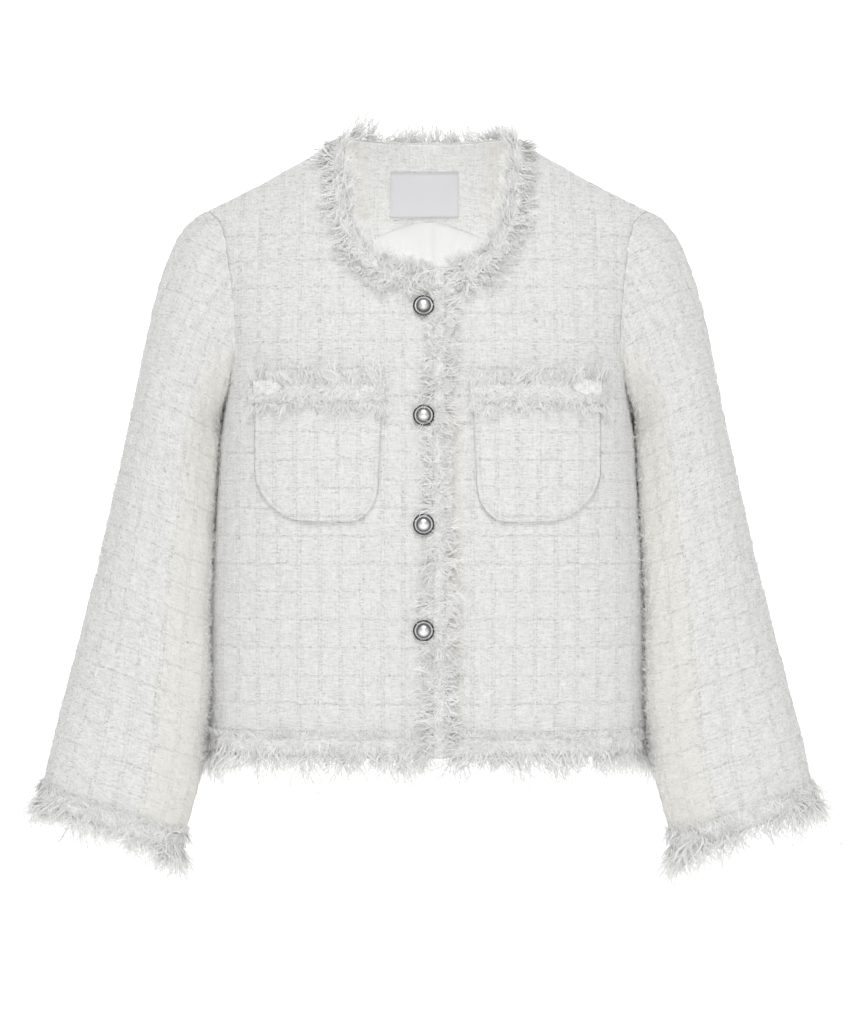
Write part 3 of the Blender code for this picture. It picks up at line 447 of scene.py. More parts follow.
def lumps(u, v, seed):
    """Height of a frayed trim's uneven tufts, in metres."""
    big = 0.0009 * value_noise(u, v, 0.0085, 0.0065, seed + 6)
    return 0.0004 + big + 0.0007 * value_noise(u, v, 0.0032, 0.0028, seed + 7)


def grid_directions(points, sign, wrap=False):
    """Directions out of a grid of points."""
    if wrap:
        padded = np.concatenate([points[:, -1:], points, points[:, :1]], 1)
        across = padded[:, 2:] - padded[:, :-2]
    else:
        across = np.gradient(points, axis=1)
    return unit(np.cross(across, np.gradient(points, axis=0)) * sign)


def measured(points):
    """Distances across and up a grid, from its own spacing."""
    across = np.linalg.norm(np.diff(points, axis=1), axis=-1)
    up = np.linalg.norm(np.diff(points, axis=0), axis=-1)
    u = np.concatenate([np.zeros((len(points), 1)), np.cumsum(across, 1)], 1)
    v = np.concatenate([np.zeros((1, points.shape[1])), np.cumsum(up, 0)])
    return u, v


# ---------------------------------------------------------------- meshes

def new_mesh(name, vertices, faces, attributes, finish):
    """A piece from arrays of vertices, faces and per-vertex values."""
    mesh = bpy.data.meshes.new(name)
    vertices = np.asarray(vertices, np.float32).reshape(-1, 3)
    mesh.vertices.add(len(vertices))
    mesh.vertices.foreach_set("co", vertices.ravel())
    sizes = np.concatenate([np.full(len(part), part.shape[1]) for part in faces])
    loops = np.concatenate([part.ravel() for part in faces])
    mesh.loops.add(len(loops))
    mesh.loops.foreach_set("vertex_index", loops.astype(np.int32))
    mesh.polygons.add(len(sizes))
    starts = np.concatenate([[0], np.cumsum(sizes)[:-1]]).astype(np.int32)
    mesh.polygons.foreach_set("loop_start", starts)
    for key, values in attributes.items():
        values = np.asarray(values, np.float32)
        kind = "FLOAT_VECTOR" if values.ndim > 1 else "FLOAT"
        layer = mesh.attributes.new(key, kind, "POINT")
        layer.data.foreach_set("vector" if values.ndim > 1 else "value", values.ravel())
    mesh.update(calc_edges=True)
    mesh.validate()
    mesh.shade_smooth()
    thing = bpy.data.objects.new(name, mesh)
    bpy.context.scene.collection.objects.link(thing)
    mesh.materials.append(finish)
    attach(thing, "root")
    return thing


def grid_faces(rows, columns, wrap=False, flip=False):
    """Quads of a grid of rows x columns vertices."""
    index = np.arange(rows * columns).reshape(rows, columns)
    after = np.roll(index, -1, 1) if wrap else index[:, 1:]
    here = index if wrap else index[:, :-1]
    quads = np.stack([here[:-1], after[:-1], after[1:], here[1:]], -1).reshape(-1, 4)
    return quads[:, ::-1] if flip else quads


def rolled(points, normals, depth):
    """A grid with two more rows after its last one, rolled in by a depth."""
    away = unit(points[-1] - points[-2])
    rows = [points[-1] - (normals[-1] + 0.2 * away) * depth * part for part in (0.35, 1.0)]
    return np.concatenate([points, rows]), np.concatenate([normals, normals[-1:], normals[-1:]])


def with_rim(points, normals, depth, edges, last_depth):
    """A grid with its edges rolled in. Edges name some of low, high, first and last."""
    rows = (2 * ("low" in edges), 2 * ("high" in edges))
    for edge, axis, way in zip(ALL_EDGES, (0, 0, 1, 1), (-1, 1, -1, 1)):
        if edge in edges:
            if edge == "last" and last_depth is not None:
                depth = np.pad(last_depth, rows, mode="edge")[:, None]
            grids = rolled(*(grid.swapaxes(0, axis)[::way] for grid in (points, normals)), depth)
            points, normals = (grid[::way].swapaxes(0, axis) for grid in grids)
    return points, normals


def cloth(name, points, normals, finish, edges, grain, depth=TWEED, wrap=False, flip=False,
          shade=None, warm_and_painted_bounce=0.0, last_depth=None):
    """One sheet of cloth from a grid, its edges rolled in, with its grain as an attribute."""
    grain = np.stack([grain[0], grain[1], grain[0] * 0.0 + warm_and_painted_bounce], -1)
    shade = np.ones(points.shape[:2]) if shade is None else shade
    pads = tuple((2 * (a in edges), 2 * (b in edges))
                 for a, b in (("low", "high"), ("first", "last")))
    grain = np.pad(grain, pads + ((0, 0),), mode="edge")
    shade = np.pad(shade, pads, mode="edge")
    points, normals = with_rim(points, normals, depth, edges, last_depth)
    if wrap:                              # a seam column, so the grain doesn't jump back
        points = np.concatenate([points, points[:, :1]], 1)
        grain = np.concatenate([grain, grain[:, -1:] * 2 - grain[:, -2:-1]], 1)
        shade = np.concatenate([shade, shade[:, :1]], 1)
    rows, columns = points.shape[:2]
    attributes = {"grain": grain.reshape(-1, 3), "shade": shade.ravel()}
    faces = [grid_faces(rows, columns, flip=flip)]
    thing = new_mesh(name + "_cloth", points, faces, attributes, finish)
    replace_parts(thing, name)
    return thing


def wrong_side(name, points, normals, step, flip, wrap=False):
    """The inner face of a sheet, on every few of its grid's rows and columns."""
    rows = sorted(set(range(0, len(points), step)) | {len(points) - 1})
    columns = sorted(set(range(0, points.shape[1], step)) | {points.shape[1] - 1})
    inner = (points - normals * TWEED)[np.ix_(rows, columns)]
    u, v = measured(inner)
    if wrap:
        inner = np.concatenate([inner, inner[:, :1]], 1)
        u, v = np.pad(u, ((0, 0), (0, 1)), mode="edge"), np.pad(v, ((0, 0), (0, 1)), mode="edge")
    attributes = {"grain": np.stack([u, v, u * 0], -1).reshape(-1, 3), "shade": np.ones(u.size)}
    faces = [grid_faces(*inner.shape[:2], flip=not flip)]
    return new_mesh(name + "_inside", inner, faces, attributes, TWEED_LOOK)


def strands(name, roots, ways, normals, lengths, shades, pull, width, segments, drop):
    """Many loose tapered strands of yarn, each with its own bend and twist, as one mesh."""
    count = len(roots)
    across = unit(np.cross(ways, normals))
    out = np.cross(across, ways)
    bend = random.normal(0, 0.40, count)
    lift = random.normal(0, 0.24, count)
    wave, phase = random.normal(0, 0.18, count), random.uniform(0, 2 * np.pi, count)
    thickness = width * random.uniform(0.4, 1.5, count)
    tilt, twist = random.normal(0, 0.40, count), random.normal(0, 0.6, count)
    steps, path = np.linspace(0, 1, segments + 1), []
    for t in steps:
        sway = bend * t * t + wave * (np.sin(phase + 4.5 * t) - np.sin(phase))
        point = roots + ways * (lengths * t * (1 - 0.12 * t))[:, None]
        point = point + across * (lengths * sway)[:, None]
        point = point + normals * (lengths * lift * t * t)[:, None] + pull * (t * t)
        point[:, 2] -= drop * lengths * t * t
        path.append(point)
    run = np.stack(path) - roots
    free = np.where(run > 0, HIGH + ROOM - roots, roots - LOW + ROOM)
    free = (free / np.maximum(np.abs(run), 1e-6)).min((0, 2))
    path = roots + run * np.clip(free, 0.05, 1.0)[None, :, None]
    sides = []
    for t, point in zip(steps, path):
        angle = tilt + twist * t
        wide = across * np.cos(angle)[:, None] + out * np.sin(angle)[:, None]
        wide = wide * (thickness * 0.5 * (1.0 - 0.45 * t))[:, None]
        sides.append(np.stack([point - wide, point + wide], 1))
    body = np.stack(sides[:-1], 1).reshape(count, -1, 3)
    vertices = np.concatenate([body, path[-1][:, None]], 1)
    per = 2 * segments + 1
    quads = [(2 * k, 2 * k + 1, 2 * k + 3, 2 * k + 2) for k in range(segments - 1)]
    base = (np.arange(count) * per)[:, None, None]
    faces = [(base + quads).reshape(-1, 4), base[:, 0] + (per - 3, per - 2, per - 1)]
    # strands darker at their roots and lighter at their tips: painted shade where they crowd at the
    # band, painted light at their tips
    rise = np.concatenate([np.repeat(0.92 + 0.13 * steps[:-1], 2), [1.05]])
    attributes = {"shade": (shades[:, None] * rise[None]).ravel()}
    return new_mesh(name, vertices, faces, attributes, YARN)


def hairs(name, points, normals, count, length):
    """Short stray hairs of the tweed's own yarn, all over a grid of cloth."""
    p, n, a, t = spread(points, normals, random.uniform(0, 1, count), random.uniform(0, 1, count))
    turn = random.uniform(0, 2 * np.pi, count)
    flat = a * np.cos(turn)[:, None] + t * np.sin(turn)[:, None]
    way = unit(flat + n * random.uniform(0.25, 1.1, count)[:, None])
    size = (length * random.uniform(0.5, 1.3, count))[:, None]
    bend = unit(np.cross(way, random.normal(0, 1, (count, 3))))
    wide = unit(np.cross(way, bend)) * HAIR
    middle = p + way * size * 0.55 + bend * size * 0.22
    tip = p + way * size * 0.95 - bend * size * random.normal(0, 0.25, count)[:, None]
    vertices = np.stack([p - wide, p + wide, middle + wide * 0.9, middle - wide * 0.9, tip], 1)
    base = np.arange(count)[:, None] * 5
    faces = [base + (0, 1, 2, 3), base + (3, 2, 4)]
    shades = np.repeat(random.uniform(0.84, 1.05, count), 5)
    return new_mesh(name, vertices, faces, {"shade": shades}, YARN)


# ---------------------------------------------------------------- materials

class Value:
    """An output of a node, which sums and products can be written with."""

    def __init__(self, nodes, socket):
        self.nodes, self.socket = nodes, socket

    def __add__(self, other):
        return self.nodes.math("ADD", self, other)

    def __sub__(self, other):
        return self.nodes.math("SUBTRACT", self, other)

    def __mul__(self, other):
        return self.nodes.math("MULTIPLY", self, other)

    def __truediv__(self, other):
        return self.nodes.math("DIVIDE", self, other)

    def __abs__(self):
        return self.nodes.math("ABSOLUTE", self, 0.0)

    def parts(self):
        """All the outputs of the same node."""
        return [Value(self.nodes, socket) for socket in self.socket.node.outputs]


class Nodes:
    """A short way to build one material's nodes."""

    def __init__(self, name):
        self.material = bpy.data.materials.new(name)
        self.material.use_nodes = True
        self.tree = self.material.node_tree
        self.shader = self.tree.nodes["Principled BSDF"]

    def add(self, kind, inputs, output=0, **settings):
        """One output of a new node, from its inputs by number or name, and its settings."""
        node = self.tree.nodes.new(kind)
        for key, value in settings.items():
            setattr(node, key, value)
        for key, value in inputs.items():
            self.feed(node.inputs[key], value)
        return Value(self, node.outputs[output])

    def feed(self, socket, value):
        """Join or set one socket."""
        if isinstance(value, Value):
            self.tree.links.new(value.socket, socket)
        else:
            socket.default_value = value

    def math(self, operation, a, b):
        """One step of arithmetic."""
        return self.add("ShaderNodeMath", {0: a, 1: b}, operation=operation)

    def attribute(self, name, output):
        """A value that the mesh carries."""
        return self.add("ShaderNodeAttribute", {}, output, attribute_name=name)

    def noise(self, vector, sizes, detail=2.0, rough=0.5):
        """Noise of a vector, with its own number of bumps a metre along each of its parts."""
        scaled = self.add("ShaderNodeVectorMath", {0: vector, 1: sizes}, operation="MULTIPLY")
        return self.add("ShaderNodeTexNoise", {"Vector": scaled, "Scale": 1.0, "Detail": detail,
                                               "Roughness": rough})

    def span(self, value, low, high, to_low=0.0, to_high=1.0):
        """A value's range carried smoothly onto another one."""
        return self.add("ShaderNodeMapRange", {0: value, 1: low, 2: high, 3: to_low, 4: to_high},
                        interpolation_type="SMOOTHSTEP")

    def grey(self, value):
        """A grey of some brightness."""
        return self.add("ShaderNodeCombineColor", {0: value, 1: value, 2: value})

    def tint(self, colour, factor):
        """A colour multiplied by another."""
        return self.add("ShaderNodeMix", {0: 1.0, 6: colour, 7: factor}, 2, data_type="RGBA",
                        blend_type="MULTIPLY")

    def blend(self, low, high, share):
        """A mix of two colours."""
        return self.add("ShaderNodeMix", {0: share, 6: low, 7: high}, 2, data_type="RGBA")

    def bump(self, height, distance, strength):
        """Fine relief on the shader's surface."""
        self.feed(self.shader.inputs["Normal"], self.add(
            "ShaderNodeBump", {"Strength": strength, "Distance": distance, "Height": height}))

    def finish(self, colour, roughness, sheen=0.0):
        """Set the shader's own values."""
        for key, value in (("Base Color", colour), ("Roughness", roughness), ("Metallic", 0.0),
                           ("Sheen Weight", sheen), ("Sheen Roughness", 0.5)):
            self.feed(self.shader.inputs[key], value)
        return self.material


def line_away(n, distance, pitch):
    """How far a distance lies from the nearest of some evenly spaced lines."""
    return abs(n.math("FRACT", distance / pitch, 0.0) - 0.5) * pitch


def tweed_material(name, white, check, rough_look):
    """White boucle tweed: uneven yarns both ways, a faint check of dotted lines, small flecks."""
    n = Nodes(name)
    grain = n.attribute("grain", "Vector")
    u, v, warm_and_painted_bounce = n.add("ShaderNodeSeparateXYZ", {0: grain}).parts()

    # yarns of both ways, single and long, then what varies over a few centimetres
    dash = n.noise(grain, (250.0, 760.0, 1.0), 1.0, 0.6)
    stitch = n.noise(grain, (760.0, 250.0, 1.0), 1.0, 0.6)
    long_across = n.noise(grain, (70.0, 560.0, 1.0), 1.0, 0.6)
    long_up = n.noise(grain, (560.0, 80.0, 1.0), 1.0, 0.6)
    yarn = n.noise(grain, (1000.0, 1000.0, 1.0), 1.0, 0.7)
    cloud = n.noise(grain, (80.0, 62.0, 1.0), 2.0, 0.6)
    patchy = n.noise(grain, (14.0, 44.0, 1.0), 1.0)
    wobble = (n.noise(grain, (45.0, 45.0, 1.0)) - 0.5) * 0.0030

    # the check: pairs of dotted lines up the cloth, and rows with a ridge beside them across it
    beside, above = line_away(n, u + wobble, CHECK_PITCH), line_away(n, v + wobble, CHECK_ROWS)
    pair = n.span(abs(beside - 0.0014), 0.0, 0.0009, 1.0, 0.0) * n.span(stitch, 0.66, 0.42)
    ridge = n.span(abs(above - 0.0024), 0.0, 0.0012, 1.0, 0.0)
    row = (n.span(above, 0.0, 0.0012, 1.0, 0.0) - ridge * 0.35) * n.span(patchy, 0.34, 0.60)
    thick = n.math("MAXIMUM", n.span(beside, 0.0006, 0.0028, 1.0, 0.0),
                   n.span(above, 0.0008, 0.0030, 1.0, 0.0))
    lively = thick * (0.75 * check) + (1.0 - 0.30 * check)

    # the colour follows the relief of the bump below, lighter on raised yarns and loops and darker
    # in pits and low yarns: partly the yarns' own tones, partly painted shade and painted
    # highlights of the weave's relief
    pits = n.span(dash, 0.47, 0.30) * lively
    rough = pits * -0.120 + n.span(stitch, 0.45, 0.30) * -0.075
    rough = rough + (dash - 0.5) * 0.20 + (yarn - 0.5) * 0.42 * lively
    rough = rough + (long_across - 0.5) * 0.30 + (long_up - 0.5) * 0.24
    # the warm share softens the yarns' contrast here and tints the colour below; on the sleeves it
    # is painted warm bounce light
    light = rough * rough_look * (warm_and_painted_bounce * -0.45 + 1.0)
    light = light + n.span(yarn, 0.60, 0.74) * lively * 0.055 + 1.030
    light = light - pair * (0.105 * check) - row * (0.090 * check) - thick * (0.022 * check)
    light = light + (cloud - 0.5) * 0.13

    spots = n.add("ShaderNodeVectorMath", {0: grain, 1: (95.0, 95.0, 1.0)}, operation="MULTIPLY")
    near, which = n.add("ShaderNodeTexVoronoi", {"Vector": spots, "Scale": 1.0}).parts()[:2]
    rare = n.span(n.add("ShaderNodeSeparateColor", {0: which}), 0.84, 0.86)
    light = light - n.span(near, 0.10, 0.05) * rare * 0.35
    colour = n.tint(white, n.grey(light * n.attribute("shade", "Fac")))
    colour = n.blend(colour, n.tint(colour, WARM_TINT_AND_PAINTED_BOUNCE), warm_and_painted_bounce)
    n.bump(dash * 0.6 + stitch * 0.5 + yarn * 0.6 + long_up * 0.3 - pits * 0.3, 0.0010, 0.8)
    return n.finish(colour, 0.95, sheen=0.08)


def strand_material():
    """Loose tweed yarn of a frayed trim."""
    n = Nodes("trim_yarn")
    at = n.add("ShaderNodeTexCoord", {}, "Object")
    n.bump(n.noise(at, (900.0, 900.0, 900.0), 1.0), 0.0002, 0.4)
    return n.finish(n.tint((0.94, 0.94, 0.928, 1.0), n.grey(n.attribute("shade", "Fac"))), 0.9,
                    sheen=0.2)


def satin_material(name, colour, rough, fine):
    """Smooth woven cloth with a faint thread and a soft sheen."""
    n = Nodes(name)
    grain = n.attribute("grain", "Vector")
    thread = n.noise(grain, (fine, fine * 0.2, 1.0))
    light = (thread - 0.5) * 0.06 + 0.97 + (n.noise(grain, (40.0, 40.0, 1.0)) - 0.5) * 0.04
    n.bump(thread, 0.0001, 0.3)
    return n.finish(n.tint(colour, n.grey(light * n.attribute("shade", "Fac"))), rough, sheen=0.15)


def metal_material(name, colour, rough, metal=1.0, painted_reflection=False):
    """Polished metal with faint wear, and, if asked, painted darker towards its foot as a painted
    reflection of dark surroundings.
    """
    n = Nodes(name)
    wear = n.noise(n.add("ShaderNodeTexCoord", {}, "Object"), (500.0, 500.0, 500.0), 3.0)
    n.feed(n.shader.inputs["Roughness"], n.span(wear, 0.3, 0.7, rough * 0.8, rough * 1.3))
    n.shader.inputs["Base Color"].default_value = colour
    n.shader.inputs["Metallic"].default_value = metal
    if painted_reflection:
        shade = n.grey(n.attribute("shade", "Fac"))
        n.feed(n.shader.inputs["Base Color"], n.tint(colour, shade))
    return n.material


# warm tint for the parts the mesh marks warm; on the sleeves' inner sides it is painted warm bounce
# light from the body
WARM_TINT_AND_PAINTED_BOUNCE = (1.014, 0.998, 0.960, 1.0)
TWEED_LOOK = tweed_material("tweed_cloth", (0.79, 0.79, 0.78, 1.0), 0.84, 0.80)
SLEEVE_LOOK = tweed_material("tweed_sleeve", (0.79, 0.79, 0.78, 1.0), 0.8, 0.82)
# the facing is the body's tweed made whiter (0.90 against 0.79): painted light inside the neck,
# where shade falls
PAINTED_LIGHT_FACING_LOOK = tweed_material("tweed_facing_painted_light", (0.90, 0.90, 0.885, 1.0), 0.3, 0.8)
TRIM_LOOK = tweed_material("tweed_trim", (0.82, 0.82, 0.81, 1.0), 0.0, 1.0)
YARN = strand_material()
LINING_LOOK = satin_material("lining_satin", (0.93, 0.93, 0.92, 1.0), 0.45, 2500.0)
LABEL_LOOK = satin_material("label_satin", (0.80, 0.80, 0.83, 1.0), 0.5, 3500.0)
RIM_METAL = metal_material("button_rim", (0.07, 0.07, 0.075, 1.0), 0.30)
DISH_METAL = metal_material("button_dish", (0.85, 0.85, 0.85, 1.0), 0.45, 0.4)
DOME_METAL = metal_material("button_ball", (0.95, 0.95, 0.95, 1.0), 0.37, painted_reflection=True)


# ---------------------------------------------------------------- fronts, back and sleeves

def grain_of(points):
    """Grain of a front: plain distance from the centre, and round the body at its side."""
    x, y, z = np.moveaxis(points, -1, 0)
    turned = ease((np.abs(x) - 0.150) / 0.02)
    u = np.cumsum(np.hypot(np.gradient(x, axis=1), np.gradient(y, axis=1) * turned), 1)
    start = np.abs(x[:, :1]) * np.sign(x[:, :1] * x[:, -1:])
    return start + (u - u[:, :1]) + LINE_SHIFT, z - HEM + ROW_SHIFT


def seam_valley(away, z):
    """1 in the hollow along an armhole seam and 0 away from it."""
    return np.exp(-(away / SEAM_VALLEY) ** 2) * (z > ARMHOLE_FOOT)


def build_front(name, side, edge_x, sink, seed):
    """One front: a fine grid on its solid, with the tweed's relief."""
    cells = panel_cells(-1, edge_x, *FRONT_GRID)
    points = torso(side, cells[..., 0], cells[..., 1], -1)
    if sink:
        points[..., 1] += sink(side * points[..., 0])
    normals = grid_directions(points, side)
    grain = grain_of(points)
    height = boucle(grain[0], grain[1], seed) * 1.15
    points = points + normals * (height - SINK_IN)[..., None]
    away = measured(points)[0]
    valley = seam_valley(away[:, -1:] - away, points[..., 2])
    points = points - normals * (VALLEY_DEPTH * valley)[..., None]
    warm_and_painted_bounce = ease((0.034 - points[..., 0]) / 0.010) * ease((-0.200 - points[..., 2]) / 0.03)
    last_depth = np.where(points[:, -1, 2] > ARMHOLE_FOOT, 0.0004, TWEED)
    # shade 1.02 in the armhole seam's hollow: painted light that lifts the hollow's own shade
    piece = cloth(name, points, normals, TWEED_LOOK, ALL_EDGES, flip=side < 0, grain=grain,
                  shade=1.0 + 0.02 * valley, warm_and_painted_bounce=warm_and_painted_bounce * (side > 0), last_depth=last_depth)
    inner = wrong_side(name, points, normals, 5, flip=side < 0)
    loose = hairs(name + "_hairs", points, normals, *FRONT_HAIRS)


def build_back():
    """The back, in one piece from side seam to side seam."""
    cells = panel_cells(1, 0.0, *BACK_GRID)
    left = torso(1, cells[..., 0], cells[..., 1], 1)
    right = torso(-1, cells[..., 0], cells[..., 1], 1)
    points = np.concatenate([right[:, :0:-1], left], 1)
    normals = grid_directions(points, -1.0)
    u, z = measured(points)[0], points[..., 2]
    valley = seam_valley(np.minimum(u, u[:, -1:] - u), z)
    u = u - u[:, len(u[0]) // 2:len(u[0]) // 2 + 1]
    height = boucle(u, z - HEM, 40) - VALLEY_DEPTH * valley
    grain = (u + LINE_SHIFT, z - HEM + ROW_SHIFT)
    points = points + normals * (height - SINK_IN)[..., None]
    piece = cloth("back", points, normals, TWEED_LOOK, ALL_EDGES, grain=grain, flip=True)
    inner = wrong_side("back", points, normals, 4, flip=True)
    loose = hairs("back_hairs", points, normals, *BACK_HAIRS)


def sleeve_grid(side):
    """A sleeve's points from the armhole to the cuff, going round from the tip forward."""
    turn = 2.0 * np.pi * np.arange(SLEEVE_COLUMNS) / SLEEVE_COLUMNS
    cap = sleeve_cap(side, np.linspace(0, 1, CAP_ROWS, endpoint=False) ** 1.15, turn)
    z = np.linspace(SLEEVE_TOP, CUFF, TUBE_ROWS + 1)
    tube = sleeve_ring(side, z[:, None], turn[None])
    return np.concatenate([cap, tube]), turn


def free_room(points, wanted, others):
    """Lengths up to the wanted ones that points can move without meeting other pieces' cloth."""
    free = wanted.copy()
    for other in others:
        mesh = bpy.data.objects[other + "_cloth"].data
        tree = BVHTree.FromPolygons([v.co for v in mesh.vertices],
                                    [f.vertices for f in mesh.polygons])
        for row, column in np.argwhere(wanted > 0.0001):
            found = tree.find_nearest(Vector(points[row, column]))
            free[row, column] = min(free[row, column], max(0.0, found[3] - FOLD_GAP))
    return free


def build_sleeve(name, side, seed, body):
    """A sleeve: one tube of tweed with relief, and a soft fold beside the body."""
    points, turn = sleeve_grid(side)
    normals = grid_directions(points, side, wrap=True)
    u, v = measured(points)
    u = u[GRAIN_ROW][None] * (0.8 + 0.2 * u[:, -1:] / u[GRAIN_ROW, -1])
    seam, out = armhole_ring(side, turn)
    along = np.roll(seam, -1, 0) - np.roll(seam, 1, 0)
    tuck = unit(np.cross(along, out)) * (0.0030 * side) - out * 0.0016
    valley = np.exp(-(v / SEAM_VALLEY) ** 2)
    height = boucle(u, v, seed) * 1.5 + 0.00035 * value_noise(u, v, 0.0065, 0.0060, seed + 8)
    fold = np.exp(-((turn - np.radians(FOLD_TURN)) / np.radians(FOLD_SPREAD)) ** 2)
    z = points[..., 2]
    below = ease((UNDERARM - 0.004 - z) / 0.045) * ease((z - HEM) / 0.05)
    height = height * (1.0 - valley)
    height = height + free_room(points, FOLD_SIZE * fold[None] * below, (body, "back"))
    points = points + normals * (height - SINK_IN)[..., None]
    points[0] -= out * 0.0003
    # shade 1.02 in the armhole seam's hollow: painted light that lifts the hollow's own shade
    shade = 1.0 + 0.02 * valley
    v = v[-1:] - v
    # the sleeve's inner front side is tinted warm with softer yarns: painted warm bounce light from
    # the body
    inner = ease((turn - np.radians(PAINTED_BOUNCE_TURN)) / np.radians(PAINTED_BOUNCE_SPREAD)) * (turn < np.pi)
    warm_and_painted_bounce = inner[None] * ease((-0.14 - points[..., 2]) / 0.05)
    # one more row, tucked under the body's cloth at the armhole
    grid = [np.concatenate([part[:1], part]) for part in (points, normals, u, v, shade, warm_and_painted_bounce)]
    grid[0][0] += tuck
    piece = cloth(name, grid[0], grid[1], SLEEVE_LOOK, ("high",), wrap=True,
                  grain=grid[2:4], shade=grid[4], warm_and_painted_bounce=grid[5], flip=side < 0)
    inner = wrong_side(name, points, normals, 5, flip=side < 0, wrap=True)
    loose = hairs(name + "_hairs", points, normals, *SLEEVE_HAIRS)
    beside = np.ix_(np.flatnonzero(below[:, 0] > 0.2),
                    np.flatnonzero(np.abs(turn - np.radians(EDGE_TURN)) < np.radians(EDGE_REACH)))
    edge = hairs(name + "_edge_hairs", points[beside], normals[beside], *EDGE_HAIRS)


# ---------------------------------------------------------------- trims

def band(name, points, normals, lift, seed, flip, tall, edge_shade=0.0):
    """The woven part of a frayed trim: lumpy, and thin at its edges, where it meets the cloth."""
    u, v = measured(points)
    rows = np.linspace(0, 1, len(points))[:, None]
    edge = ease(np.minimum(rows, 1.0 - rows) / 0.28)
    height = lumps(u, v, seed) * tall * 0.7
    tufts = value_noise(u, v, 0.0110, 0.0080, seed + 9)
    tufts = tufts + 0.5 * value_noise(u, v, 0.004, 0.003, seed)
    ends = np.abs(np.linspace(-1, 1, points.shape[1]))[None] ** 12
    shade = 1.02 - 0.09 * ease(0.45 - 0.8 * tufts)
    shade = shade + edge_shade * (0.4 - np.maximum(1.0 - edge, ends))
    height = lift * mix(0.3, 1.0, edge) + mix(0.0, TRIM * 0.8, edge) + height * edge
    return cloth(name, points + normals * height[..., None], normals, TRIM_LOOK, ALL_EDGES,
                 depth=max(lift * 0.4, 0.0003), grain=(u, v), shade=shade, flip=flip)


def spread(points, normals, share_across, share_along):
    """Points, outward directions and the two grid directions at places on a grid."""
    rows, columns = points.shape[:2]
    a = np.clip(share_across, 0, 1) * (rows - 1)
    b = np.clip(share_along, 0, 1) * (columns - 1)
    i, j = np.minimum(a.astype(int), rows - 2), np.minimum(b.astype(int), columns - 2)
    s, t = (a - i)[:, None], (b - j)[:, None]

    def at(grid):
        low = mix(grid[i, j], grid[i, j + 1], t)
        return mix(low, mix(grid[i + 1, j], grid[i + 1, j + 1], t), s)

    out = unit(at(normals))
    across = unit(points[i + 1, j] - points[i, j])
    return at(points), out, across, unit(points[i, j + 1] - points[i, j])


def tufted(points, normals, lift, limit, many, share, sign, count, length, flare, *part):
    """One row of a trim's strands, in tufts that lean together."""
    length_along = np.linalg.norm(np.diff(points[0], axis=0), axis=-1).sum()
    count = int(count * many)
    tufts = max(4, int(length_along / TUFT_PITCH[length > LONG_STRAND]))
    middle = (np.arange(tufts) + random.uniform(0.1, 0.9, tufts)) / tufts
    lean = random.normal(0, 0.36, tufts)
    grow = 0.5 + 0.95 * random.uniform(0, 1, tufts) ** 1.7
    tone, at_row = random.uniform(0.94, 1.05, tufts), random.normal(0, 0.06, tufts)
    pick = random.integers(0, tufts, count)
    along = np.clip(middle[pick] + random.normal(0, 0.34, count) / tufts, 0, 1)
    if part:
        along = random.uniform(part[0], part[1], count)
        pick = np.clip((along * tufts).astype(int), 0, tufts - 1)
    across = np.clip(share + at_row[pick] + random.normal(0, 0.07, count), 0.0, 1.0)
    p, n, a, t = spread(points, normals, across, along)
    rise = np.abs(random.normal(0, flare, count)) + 0.03
    lean = lean[pick] + random.normal(0, 0.16, count)
    way = unit(a * sign + t * lean[:, None] + n * rise[:, None])
    root = p + n * (lift + 0.0005 + random.uniform(0, 0.0009, count))[:, None]
    size = length * random.uniform(0.6, 1.08, count) * grow[pick]
    if limit:
        size = limit(root, way, size)
    shade = random.uniform(0.93, 1.05, count) * tone[pick]
    pull = 0.85 * (middle[pick] - along) * length_along     # back to the tuft's middle
    return root, way, n, size, shade, t * pull[:, None]


def lint(points, normals, lift, count, length, seed):
    """Short strands that lie any way, all over a trim."""
    length_along = np.linalg.norm(np.diff(points[0], axis=0), axis=-1).sum()
    along, across = random.uniform(0, 1, count), random.uniform(0.04, 0.96, count)
    p, n, a, t = spread(points, normals, across, along)
    turn = random.normal(0, 0.9, count) + np.where(random.uniform(0, 1, count) < 0.5, 0, np.pi)
    way = a * np.cos(turn)[:, None] + t * np.sin(turn)[:, None]
    way = unit(way + n * np.abs(random.normal(0, 0.35, count))[:, None])
    mottle = value_noise(along * length_along, across * 0.02, 0.010, 0.008, seed + 3)
    shade = random.uniform(0.93, 1.03, count) * (1 + 0.05 * mottle)
    size = length * random.uniform(0.6, 1.2, count)
    return p + n * (lift + TRIM * 0.6), way, n, size, shade, np.zeros_like(p)


def fray(name, points, normals, lift, kind, seed, drop, limit, many):
    """A trim's loose strands: long ones as its fringe, and short ones as its fuzz."""
    (count, length), edges = FRINGES[kind]
    rows = [(edge[3], tufted(points, normals, lift, limit, many, *edge)) for edge in edges]
    rows.append((length, lint(points, normals, lift, int(count * many), length, seed)))
    made = []
    for long, word, segments in ((False, "_fuzz", 2), (True, "_fringe", 3)):
        group = [row for size, row in rows if (size > LONG_STRAND) == long]
        if group:
            arrays = (np.concatenate(part) for part in zip(*group))
            made.append(strands(name + word, *arrays, STRAND_WIDTH[long], segments, drop))
    return made


def trim(name, rows, lift, kind, seed, flip=False, drop=0.0, tall=1.0, limit=None, many=1.0):
    """A frayed trim from its rows of points and directions: its woven band and loose strands."""
    points, normals = (np.stack(part) for part in zip(*rows))
    base = band(name, points, normals, lift, seed, flip, tall)
    fray(name, points, normals, lift, kind, seed, drop, limit, many)


